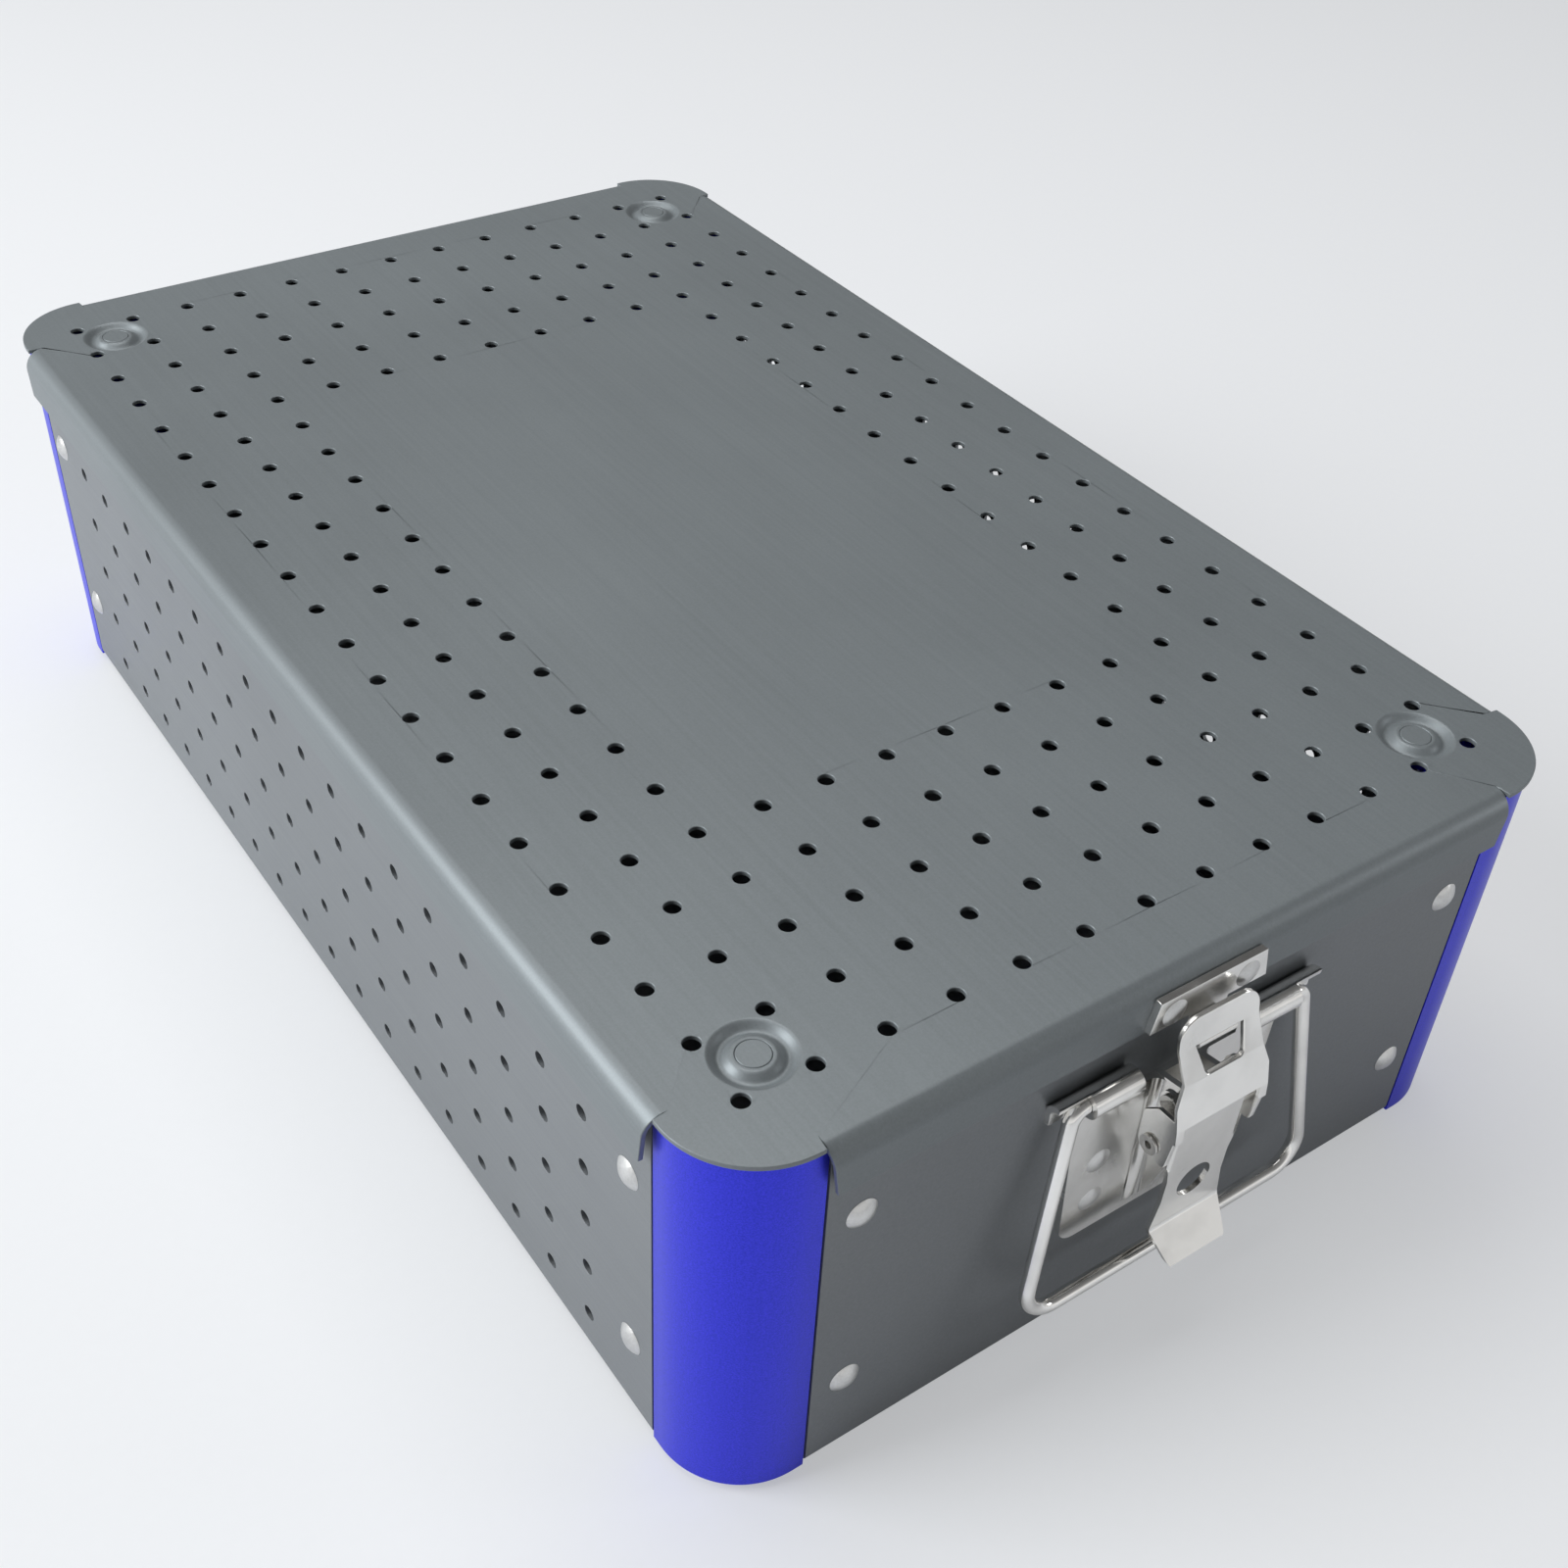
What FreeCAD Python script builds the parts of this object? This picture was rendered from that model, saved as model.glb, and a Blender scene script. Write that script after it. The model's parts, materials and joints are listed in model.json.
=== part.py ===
"""Perforated sterilization container with a lift-off lid, two draw latches and two handle bails.

Millimetres, +Z up. The origin is under the middle of the container, on the plane that its feet
stand on. X is the short way, Y the long way. The pictured latch end is at -Y.
"""
import FreeCAD, Part
import math
import os
import re
import Sketcher

# Driving sizes: name, value, meaning.
SIZES = [
    ("case_width", 193.0, "outer faces of the two long walls"),
    ("case_length", 322.0, "outer faces of the two end walls"),
    ("total_height", 91.0, "feet to lid top"),
    ("sheet", 1.0, "aluminium sheet of base and lid"),
    ("pan_bend", 2.0, "outer bend radius at the foot of the walls"),
    ("rest_gap", 0.3, "clearance between the lid and what it rests on"),
    ("lid_gap", 1.4, "air between a wall and the lid flange outside it"),
    ("lid_bend", 4.5, "outer bend radius of the lid flanges"),
    ("flange_depth", 10.9, "lid top to the lower edge of a flange"),
    ("lobe_overhang", 0.9, "how far a lid corner lobe stands past the corner profile"),
    ("notch_width", 1.8, "relief notch between a flange end and a corner lobe, at the lobe's edge"),
    ("notch_root", 0.5, "the same notch at its inner end"),
    ("notch_inset", 0.3, "how far a relief notch reaches behind a flange bend"),
    ("hole_pitch", 14.0, "distance between neighbouring steam holes"),
    ("hole_radius", 1.6, "steam holes"),
    ("lid_rows", 13, "steam holes across the lid"),
    ("lid_columns", 22, "steam holes along the lid"),
    ("end_columns", 5, "full columns of steam holes at each lid end"),
    ("side_rows", 3, "rows of steam holes along each side of the lid's plain middle"),
    ("wall_columns", 18, "steam holes along a long wall"),
    ("wall_rows", 5, "steam holes up a long wall"),
    ("wall_first_row", 12.6, "height of the lowest row of steam holes in a long wall"),
    ("recess_radius", 7.8, "outer radius of a pressed stacking recess"),
    ("recess_boss", 4.3, "radius of the boss inside a stacking recess"),
    ("recess_depth", 1.3, "depth of a stacking recess"),
    ("recess_slope", 0.9, "run of the sloping side of a stacking recess"),
    ("button_radius", 3.0, "flush rivet in the boss of a recess"),
    ("button_flange", 0.9, "how far the flush rivet's flange reaches past its plug"),
    ("button_flange_height", 0.6, "thickness of the flush rivet's flange"),
    ("corner_radius", 17.0, "outer radius of a corner profile"),
    ("corner_reach", 19.4, "visible reach of a corner profile along each wall"),
    ("corner_wall", 2.0, "thickness of a corner profile's tongue"),
    ("joint_gap", 0.5, "dark joint between a wall's end and the corner profile"),
    ("tongue_length", 13.0, "tongue of the corner profile behind a wall"),
    ("tongue_gap", 0.1, "air between a tongue and the wall sheet over it"),
    ("rivet_inset", 27.0, "wall rivets, from the outer corner of the case"),
    ("rivet_low", 23.0, "height of the lower wall rivets"),
    ("rivet_rise", 45.6, "from the lower to the upper wall rivets"),
    ("rivet_head", 3.2, "head radius of a wall rivet"),
    ("rivet_dome", 1.3, "head height of a wall rivet"),
    ("rivet_shank", 1.6, "shank radius of a wall rivet"),
    ("rivet_tail", 0.8, "how far a rivet's inner end reaches past its shank"),
    ("rivet_tail_height", 0.7, "height of a rivet's inner end"),
    ("hole_play", 0.05, "radial play round rivets and pins"),
    ("foot_height", 2.0, "height of a stacking foot"),
    ("foot_cup_depth", 1.4, "depth of the hollow under a foot"),
    ("stack_play", 0.3, "play of a foot in a stacking recess"),
    ("foot_rivet_head", 0.4, "head height of a foot rivet"),
    ("small_head", 2.8, "head radius of keeper, bracket and foot rivets"),
    ("small_dome", 0.7, "head height of keeper and bracket rivets"),
    ("small_shank", 1.5, "shank radius of those rivets"),
    ("keeper_sheet", 1.5, "keeper plate thickness"),
    ("keeper_width", 27.4, "keeper plate width at its lower edge"),
    ("keeper_taper", 1.3, "how much narrower each end is at the keeper's top"),
    ("keeper_top", 3.2, "keeper's top edge, below the lid top"),
    ("keeper_bottom", 9.9, "keeper's lower edge, below the lid top"),
    ("keeper_rivet_span", 17.2, "distance between the keeper rivets"),
    ("keeper_rivet_drop", 7.1, "keeper rivets, below the lid top"),
    ("hook_width", 9.0, "width of the keeper's hook"),
    ("hook_play", 0.3, "clearance between the hook and the loop's bar"),
    ("hook_fall", 5.0, "outward fall of the hook's upper face, degrees"),
    ("hook_bend", 2.0, "outer bend radius of the hook"),
    ("loop_sheet", 1.0, "loop thickness"),
    ("loop_top_drop", 7.7, "upper edge of the loop, below the lid top"),
    ("loop_bar_drop", 13.5, "top of the loop's window, below the lid top"),
    ("loop_waist_drop", 19.2, "crease of the loop, below the lid top"),
    ("loop_flare_drop", 23.6, "where the loop reaches its full width, below the lid top"),
    ("loop_hem_drop", 28.3, "lower edge of the loop's hood, below the lid top"),
    ("loop_lobe_drop", 31.5, "lower ends of the hood's rounded sides, below the lid top"),
    ("loop_top_stand", 6.6, "loop's outer face off the wall at its upper edge"),
    ("loop_bar_stand", 7.6, "loop's outer face off the wall at its bar"),
    ("loop_waist_stand", 10.4, "loop's outer face off the wall at its crease"),
    ("loop_hem_stand", 12.4, "loop's outer face off the wall at the hood's lower edge"),
    ("loop_lobe_stand", 12.7, "loop's outer face off the wall at the ends of its sides"),
    ("loop_frame_width", 18.8, "loop width round its window"),
    ("loop_hood_width", 22.0, "loop width over its ears"),
    ("loop_hem_width", 18.2, "width of the hood's lower edge between its sides"),
    ("loop_corner", 4.2, "radius of the loop's upper corners"),
    ("loop_fold", 1.3, "outer bend radius along the hood's sides"),
    ("window_top_width", 11.4, "loop window, upper edge"),
    ("window_low_width", 8.8, "loop window, lower edge"),
    ("window_height", 5.6, "loop window, top to bottom"),
    ("ear_top_drop", 26.6, "upper edge of the loop's ears, below the lid top"),
    ("ear_low_stand", 11.3, "lower front corner of the loop's ears, off the wall"),
    ("loop_eye", 3.1, "radius of the loop's ears round their pins"),
    ("loop_pin_drop", 35.8, "pins that carry the loop, below the lid top"),
    ("loop_pin_stand", 7.3, "pins that carry the loop, off the wall"),
    ("pin_radius", 1.25, "latch pins"),
    ("pin_head", 2.1, "head radius of the latch pins"),
    ("pin_head_height", 0.5, "head height of the latch pins"),
    ("pin_side_play", 0.1, "play along a pin"),
    ("pin_bore", 0.8, "radius of the hollow end of a loop pin"),
    ("pin_bore_depth", 1.4, "depth of the hollow end of a loop pin"),
    ("lever_pin_drop", 27.2, "lever pivot, below the lid top"),
    ("lever_pin_stand", 7.4, "lever pivot, off the wall"),
    ("lever_sheet", 1.0, "lever thickness"),
    ("lever_top_drop", 28.2, "upper edge of the lever's face, below the lid top"),
    ("lever_top_stand", 10.9, "lever's outer face off the wall at its upper edge"),
    ("lever_bend_drop", 59.2, "bend of the thumb tip, below the lid top"),
    ("lever_bend_stand", 10.0, "lever's outer face off the wall at the bend"),
    ("lever_tip_drop", 65.3, "outer edge of the thumb tip, below the lid top"),
    ("lever_tip_stand", 15.3, "outer edge of the thumb tip, off the wall"),
    ("lever_top_width", 16.4, "lever width over its cheeks"),
    ("lever_neck_width", 15.0, "lever width at the seal hole"),
    ("lever_bend_width", 17.4, "lever width at the bend"),
    ("lever_tip_width", 13.4, "lever width at the tip"),
    ("lever_tip_corner", 2.6, "corner radius of the thumb tip"),
    ("lever_tip_bend", 1.5, "outer bend radius of the thumb tip"),
    ("lever_fold", 0.8, "rounding between the lever's face and cheeks"),
    ("lever_eye", 2.5, "radius of the lever's cheeks round their pins"),
    ("lever_cheek_drop", 42.0, "lower end of the lever's cheeks, below the lid top"),
    ("seal_hole_radius", 4.0, "round hole for a seal in the lever"),
    ("seal_hole_drop", 49.7, "seal hole, below the lid top"),
    ("bracket_sheet", 1.2, "bracket thickness"),
    ("barrel_drop", 21.5, "bail axis, below the lid top"),
    ("barrel_play", 0.1, "radial play of the bail in its barrel"),
    ("barrel_inner_end", 13.6, "inner end of a barrel, from the middle"),
    ("barrel_outer_end", 24.6, "outer end of a barrel, from the middle"),
    ("lip_outer_end", 31.3, "outer end of the half barrel over the bail's bend"),
    ("lip_angle", 80.0, "front edge of the half barrel, above level, degrees"),
    ("curl_gap", 0.5, "slit between the end of a curl and the plate"),
    ("wing_half_width", 22.4, "half width of the bracket at its lower edge"),
    ("wing_top_drop", 27.0, "upper edge of the bracket between its barrels, below the lid top"),
    ("wing_bottom_drop", 63.0, "lower edge of the bracket, below the lid top"),
    ("wing_corner", 4.0, "corner radius of the bracket"),
    ("cheek_span", 10.4, "outer faces of the bracket's two upright cheeks"),
    ("cheek_eye", 2.1, "radius of the bracket's cheeks round the pivot"),
    ("cheek_brow_drop", 31.0, "upper front point of a bracket cheek, below the lid top"),
    ("cheek_knee_drop", 45.8, "knee in the cheek's outline, below the lid top"),
    ("cheek_knee_stand", 7.4, "knee in the cheek's outline, off the wall"),
    ("cheek_shin_drop", 54.6, "lower point in the cheek's outline, below the lid top"),
    ("cheek_shin_stand", 4.7, "lower point in the cheek's outline, off the wall"),
    ("cheek_root", 2.2, "fillet at the root of a bracket cheek"),
    ("bracket_rivet_span", 32.4, "distance between the bracket's rivet rows"),
    ("bracket_rivet_drop", 43.3, "upper bracket rivets, below the lid top"),
    ("bracket_rivet_pitch", 10.7, "upper to lower bracket rivets"),
    ("bail_wire", 1.5, "radius of the bail's wire"),
    ("bail_inner_end", 14.2, "end of the bail's wire in its barrel, from the middle"),
    ("bail_top_half", 27.5, "half width of the bail at its axis"),
    ("bail_low_half", 35.5, "half width of the bail at its grip"),
    ("bail_reach", 48.0, "bail axis to the middle of the grip"),
    ("bail_top_bend", 3.2, "bend radius at the bail's axis"),
    ("bail_low_bend", 6.5, "bend radius at the bail's grip"),
    ("bail_lean", 5.4, "lean of the stored bail off the wall, degrees"),
]

# Sizes that follow from the driving ones.
DERIVED = {
    "lid_inner_bend": "(lid_bend - sheet)",
    "rim_height": "(total_height - sheet - rest_gap - lid_inner_bend"
                  " + sqrt(lid_inner_bend ^ 2 - (lid_inner_bend - lid_gap) ^ 2))",
    "lid_half_width": "(case_width / 2 + lid_gap + sheet)",
    "lid_half_length": "(case_length / 2 + lid_gap + sheet)",
    "wall_end": "(corner_reach + joint_gap)",
    "tongue_skin": "(sheet + tongue_gap)",
    "profile_depth": "(tongue_skin + corner_wall)",
    "profile_top": "(total_height - sheet - rest_gap)",
    "tongue_bottom": "(foot_height + pan_bend + rest_gap)",
    "stack_x": "((lid_rows - 2) * hole_pitch / 2)",
    "stack_y": "((lid_columns - 2) * hole_pitch / 2)",
    "foot_radius": "(recess_radius - recess_slope - stack_play)",
    "foot_cup": "(recess_boss + recess_slope + stack_play)",
    "flange_face": "(lid_gap + sheet)",
    "keeper_face": "(flange_face + keeper_sheet)",
    "barrel_bore": "(bail_wire + barrel_play)",
    "barrel_radius": "(barrel_bore + bracket_sheet)",
    "bar_inner": "(loop_bar_stand - loop_sheet)",
    "hook_top": "(loop_bar_drop + hook_play)",
    "tip_slant": "atan((lever_tip_stand - lever_bend_stand) / (lever_tip_drop - lever_bend_drop))",
}

document = FreeCAD.newDocument("container")


def bound(text):
    """Turn a formula in plain size names into one that reads the sheet."""
    names = {name for name, _, _ in SIZES}
    text = str(text)
    while True:
        wider = re.sub(r"(?<![\w.])([a-z]\w*)", lambda m: DERIVED.get(m[1], m[1]), text)
        if wider == text:
            break
        text = wider
    return re.sub(r"(?<![\w.])([a-z]\w*)", lambda m: "sizes." + m[1] if m[1] in names else m[1], text)


def make_sheet():
    """Write the driving sizes to a spreadsheet, one alias each."""
    sheet = document.addObject("Spreadsheet::Sheet", "sizes")
    for row, (name, value, meaning) in enumerate(SIZES, start=1):
        sheet.set("A%d" % row, name)
        sheet.set("B%d" % row, str(value))
        sheet.set("C%d" % row, meaning)
        sheet.setAlias("B%d" % row, name)
    document.recompute()
    return sheet


sizes = make_sheet()


def value(text):
    """Work out a formula in size names as a number."""
    result = sizes.evalExpression(bound(text))
    return float(getattr(result, "Value", result))


def make_body(label):
    """Start one sub-part."""
    body = document.addObject("PartDesign::Body", label)
    body.Label = label
    body.AllowCompound = True
    return body


def origin(body, role):
    """Find one of a body's own origin planes or axes."""
    return next(item for item in body.Origin.OriginFeatures if item.Role == role)


def make_sketch(body, role, offset="0", shift=("0", "0")):
    """Attach a sketch to an origin plane of its body, offset along the normal and shifted in the plane."""
    sketch = body.newObject("Sketcher::SketchObject", body.Label + "_sketch")
    sketch.AttachmentSupport = [(origin(body, role), "")]
    sketch.MapMode = "FlatFace"
    for axis, text in zip("xyz", (shift[0], shift[1], offset)):
        sketch.setExpression("AttachmentOffset.Base." + axis, bound(text))
    return sketch


def pin_point(sketch, item, vertex, point):
    """Hold a sketch vertex at a place given by two formulas."""
    for axis, text in zip(("DistanceX", "DistanceY"), point):
        index = sketch.addConstraint(Sketcher.Constraint(axis, -1, 1, item, vertex, value(text)))
        sketch.renameConstraint(index, "place%d" % index)
        sketch.setExpression("Constraints.place%d" % index, bound(text))


def set_radius(sketch, item, text):
    """Bind the radius of a sketch arc or circle to a formula."""
    index = sketch.addConstraint(Sketcher.Constraint("Radius", item, value(text)))
    sketch.renameConstraint(index, "radius%d" % index)
    sketch.setExpression("Constraints.radius%d" % index, bound(text))


def add_arc(sketch, start, end, middle):
    """Add the shorter arc from start to end; return it with its start and end vertex numbers."""
    turn = (start - middle).cross(end - middle).z
    first, last = (start, end) if turn > 0 else (end, start)
    angles = [math.atan2(spot.y - middle.y, spot.x - middle.x) for spot in (first, last)]
    if angles[1] < angles[0]:
        angles[1] += 2 * math.pi
    circle = Part.Circle(middle, FreeCAD.Vector(0, 0, 1), (start - middle).Length)
    item = sketch.addGeometry(Part.ArcOfCircle(circle, *angles), False)
    return item, ((1, 2) if turn > 0 else (2, 1))


def dome_middle(start, end, level):
    """Middle of an arc through two points, on the level or the upright axis of the sketch."""
    if level:
        place = (end.Length ** 2 - start.Length ** 2) / (2 * (end.x - start.x))
        return FreeCAD.Vector(place, 0, 0)
    place = (end.Length ** 2 - start.Length ** 2) / (2 * (end.y - start.y))
    return FreeCAD.Vector(0, place, 0)


def draw_outline(sketch, points, radii=None, dome=None, closed=True):
    """Draw sides through points given as pairs of formulas.

    radii maps a point's number to the formula of the radius that rounds its corner. dome is the
    number of a side that bulges as an arc, with its middle on the sketch axis that it ends on.
    """
    radii = radii or {}
    places = [FreeCAD.Vector(value(across), value(up), 0) for across, up in points]
    count = len(points)
    sides = count if closed else count - 1
    starts = [places[index] for index in range(sides)]
    ends = [places[(index + 1) % count] for index in range(sides)]
    rounds = {}
    for corner, text in radii.items():
        here = places[corner]
        back = (places[corner - 1] - here).normalize()
        ahead = (places[(corner + 1) % count] - here).normalize()
        half = back.getAngle(ahead) / 2
        radius = value(text)
        ends[corner - 1] = here + back * (radius / math.tan(half))
        starts[corner] = here + ahead * (radius / math.tan(half))
        rounds[corner] = here + (back + ahead).normalize() * (radius / math.sin(half))
    items = []
    for index in range(sides):
        if index == dome:
            level = abs(ends[index].y) < 1e-9
            middle = dome_middle(starts[index], ends[index], level)
            item, vertices = add_arc(sketch, starts[index], ends[index], middle)
            sketch.addConstraint(Sketcher.Constraint("PointOnObject", item, 3, -1 if level else -2))
        else:
            item = sketch.addGeometry(Part.LineSegment(starts[index], ends[index]), False)
            vertices = (1, 2)
        items.append((item, vertices))
    if not closed:
        pin_point(sketch, items[0][0], items[0][1][0], points[0])
        pin_point(sketch, items[-1][0], items[-1][1][1], points[-1])
    for corner in range(0 if closed else 1, count if closed else count - 1):
        (before, (_, tail)), (after, (nose, _)) = items[corner - 1], items[corner]
        if corner not in rounds:
            sketch.addConstraint(Sketcher.Constraint("Coincident", before, tail, after, nose))
            pin_point(sketch, after, nose, points[corner])
            continue
        arc, (enter, leave) = add_arc(sketch, ends[corner - 1], starts[corner], rounds[corner])
        sketch.addConstraint(Sketcher.Constraint("Tangent", before, tail, arc, enter))
        sketch.addConstraint(Sketcher.Constraint("Tangent", arc, leave, after, nose))
        set_radius(sketch, arc, radii[corner])
        mark = sketch.addGeometry(Part.Point(places[corner]), True)
        pin_point(sketch, mark, 1, points[corner])
        sketch.addConstraint(Sketcher.Constraint("PointOnObject", mark, 1, before))
        sketch.addConstraint(Sketcher.Constraint("PointOnObject", mark, 1, after))
    return sketch


def draw_box(sketch, low, high):
    """Draw a rectangle between two corners given as pairs of formulas."""
    return draw_outline(sketch, [low, (high[0], low[1]), high, (low[0], high[1])])


def draw_circle(sketch, middle, radius):
    """Draw a circle from formulas for its middle and radius."""
    place = FreeCAD.Vector(value(middle[0]), value(middle[1]), 0)
    item = sketch.addGeometry(Part.Circle(place, FreeCAD.Vector(0, 0, 1), value(radius)), False)
    set_radius(sketch, item, radius)
    pin_point(sketch, item, 3, middle)
    return sketch


def mirrored_outline(points):
    """Complete an outline that is given by its right half, top to bottom, with its left half."""
    return points + [("-(%s)" % across, up) for across, up in reversed(points)]


def extrude(body, sketch, length=None, middle=False, cut=False, reverse=False):
    """Pad or pocket a sketch by a length, or cut right through both ways."""
    kind = "PartDesign::Pocket" if cut else "PartDesign::Pad"
    feature = body.newObject(kind, body.Label + ("_cut" if cut else "_pad"))
    feature.Profile = sketch
    if length is None:
        feature.Type = "ThroughAll"
    else:
        feature.setExpression("Length", bound(length))
    if middle or length is None:
        feature.SideType = "Symmetric"
    feature.Reversed = reverse
    sketch.Visibility = False
    document.recompute()
    return feature


def revolve(body, sketch, axis):
    """Turn a sketch right round its level axis, H_Axis, or its upright axis, V_Axis."""
    feature = body.newObject("PartDesign::Revolution", body.Label + "_turned")
    feature.Profile = sketch
    feature.ReferenceAxis = (sketch, [axis])
    feature.Angle = 360
    document.recompute()
    return feature


def repeat(body, features, steps):
    """Repeat features by rows (axis role, pitch, count) and mirrors (plane role,)."""
    transform = body.newObject("PartDesign::MultiTransform", body.Label + "_pattern")
    moves = []
    for step in steps:
        if len(step) == 1:
            move = body.newObject("PartDesign::Mirrored", body.Label + "_mirror")
            move.MirrorPlane = (origin(body, step[0]), [""])
        else:
            axis, pitch, count = step
            move = body.newObject("PartDesign::LinearPattern", body.Label + "_row")
            move.Direction = (origin(body, axis), [""])
            move.setExpression("Length", bound("(%s) * (%s - 1)" % (pitch, count)))
            move.setExpression("Occurrences", bound(count))
        moves.append(move)
    transform.Originals = features
    transform.Transformations = moves
    body.Tip = transform
    document.recompute()
    return transform


def fillet(body, radius, wanted):
    """Round those edges of the body for which wanted(edge) is true."""
    base = body.Tip
    names = ["Edge%d" % number for number, edge in enumerate(base.Shape.Edges, start=1) if wanted(edge)]
    if not names:
        raise RuntimeError("no edge to round on " + body.Label)
    feature = body.newObject("PartDesign::Fillet", body.Label + "_round")
    feature.Base = (base, names)
    feature.setExpression("Radius", bound(radius))
    document.recompute()
    return feature


def is_straight(edge):
    """Whether an edge is a straight line."""
    return isinstance(edge.Curve, (Part.Line, Part.LineSegment))


def near(edge, **place):
    """Whether an edge's middle lies at the given x, y or z, each a formula, on either side of zero."""
    point = edge.valueAt((edge.FirstParameter + edge.LastParameter) / 2)
    tolerance = 1e-3
    return all(abs(abs(getattr(point, axis)) - abs(value(text))) < tolerance
               for axis, text in place.items())


def at(stand, drop):
    """Sketch point on an end fitting's side view, off the wall and below the lid top."""
    return ("-(%s)" % stand, below(drop))


def below(drop):
    """Height of a place that is given as a drop below the lid top."""
    return "total_height - (%s)" % drop


def place_at_end(body, front):
    """Move an end fitting from its own frame to the front or the back wall."""
    if not front:
        body.Placement = FreeCAD.Placement(FreeCAD.Vector(), FreeCAD.Rotation(180, 0, 0))
    body.setExpression("Placement.Base.y", bound("-case_length / 2" if front else "case_length / 2"))
    return body


def fold_tray(body, half_width, half_length, low, high, bend, open_top):
    """Fold a shallow tray from sheet, open at the top or, as a lid, at the bottom."""
    block = make_sketch(body, "XY_Plane", low)
    draw_box(block, ("-(%s)" % half_width, "-(%s)" % half_length), (half_width, half_length))
    extrude(body, block, "%s - (%s)" % (high, low))
    closed, opened = (low, high) if open_top else (high, low)
    fillet(body, bend, lambda edge: near(edge, z=closed))
    base = body.Tip
    level = value(opened)
    faces = [number for number, face in enumerate(base.Shape.Faces, start=1)
             if abs(face.CenterOfMass.z - level) < 1e-3]
    shell = body.newObject("PartDesign::Thickness", body.Label + "_shell")
    shell.Base = (base, ["Face%d" % faces[0]])
    shell.Reversed = True
    shell.setExpression("Value", bound("sheet"))
    document.recompute()


# The case


def make_base_pan():
    """Fold the floor and four walls, open the corners, and punch the long walls."""
    body = make_body("base_pan")
    fold_tray(body, "case_width / 2", "case_length / 2", "foot_height", "rim_height", "pan_bend", True)
    corner = make_sketch(body, "XY_Plane")
    draw_box(corner, ("case_width / 2 - wall_end", "case_length / 2 - wall_end"),
             ("case_width / 2 + sheet", "case_length / 2 + sheet"))
    repeat(body, [extrude(body, corner, cut=True)], [("YZ_Plane",), ("XZ_Plane",)])
    lobe_x = "case_width / 2 - profile_depth - rest_gap"
    lobe_y = "case_length / 2 - profile_depth - rest_gap"
    lobe = make_sketch(body, "XY_Plane", "foot_height")
    inner_x, inner_y = "case_width / 2 - wall_end - sheet", "case_length / 2 - wall_end - sheet"
    draw_outline(lobe, [(inner_x, inner_y), (lobe_x, inner_y), (lobe_x, lobe_y), (inner_x, lobe_y)],
                 {2: "corner_radius - profile_depth - rest_gap"})
    repeat(body, [extrude(body, lobe, "sheet")], [("YZ_Plane",), ("XZ_Plane",)])
    hole = make_sketch(body, "YZ_Plane")
    draw_circle(hole, ("-hole_pitch * (wall_columns - 1) / 2", "wall_first_row"), "hole_radius")
    repeat(body, [extrude(body, hole, cut=True)],
           [("Y_Axis", "hole_pitch", "wall_columns"), ("Z_Axis", "hole_pitch", "wall_rows")])
    side = make_sketch(body, "YZ_Plane")
    draw_circle(side, ("case_length / 2 - rivet_inset", "rivet_low"), "rivet_shank + hole_play")
    repeat(body, [extrude(body, side, cut=True)], [("Z_Axis", "rivet_rise", "2"), ("XZ_Plane",)])
    end = make_sketch(body, "XZ_Plane")
    draw_circle(end, ("case_width / 2 - rivet_inset", "rivet_low"), "rivet_shank + hole_play")
    repeat(body, [extrude(body, end, cut=True)], [("Z_Axis", "rivet_rise", "2"), ("YZ_Plane",)])
    repeat(body, [cut_bracket_rivet_hole(body)], [("Z_Axis", "bracket_rivet_pitch", "2"), ("YZ_Plane",)])
    foot = make_sketch(body, "XY_Plane", "foot_height")
    draw_circle(foot, ("stack_x", "stack_y"), "small_shank + hole_play")
    repeat(body, [extrude(body, foot, "4 * sheet", middle=True, cut=True)], [("YZ_Plane",), ("XZ_Plane",)])
    return body


def cut_bracket_rivet_hole(body):
    """Drill the lower right bracket rivet hole along Y."""
    sketch = make_sketch(body, "XZ_Plane")
    place = ("bracket_rivet_span / 2", below("bracket_rivet_drop + bracket_rivet_pitch"))
    draw_circle(sketch, place, "small_shank + hole_play")
    return extrude(body, sketch, cut=True)


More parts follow.
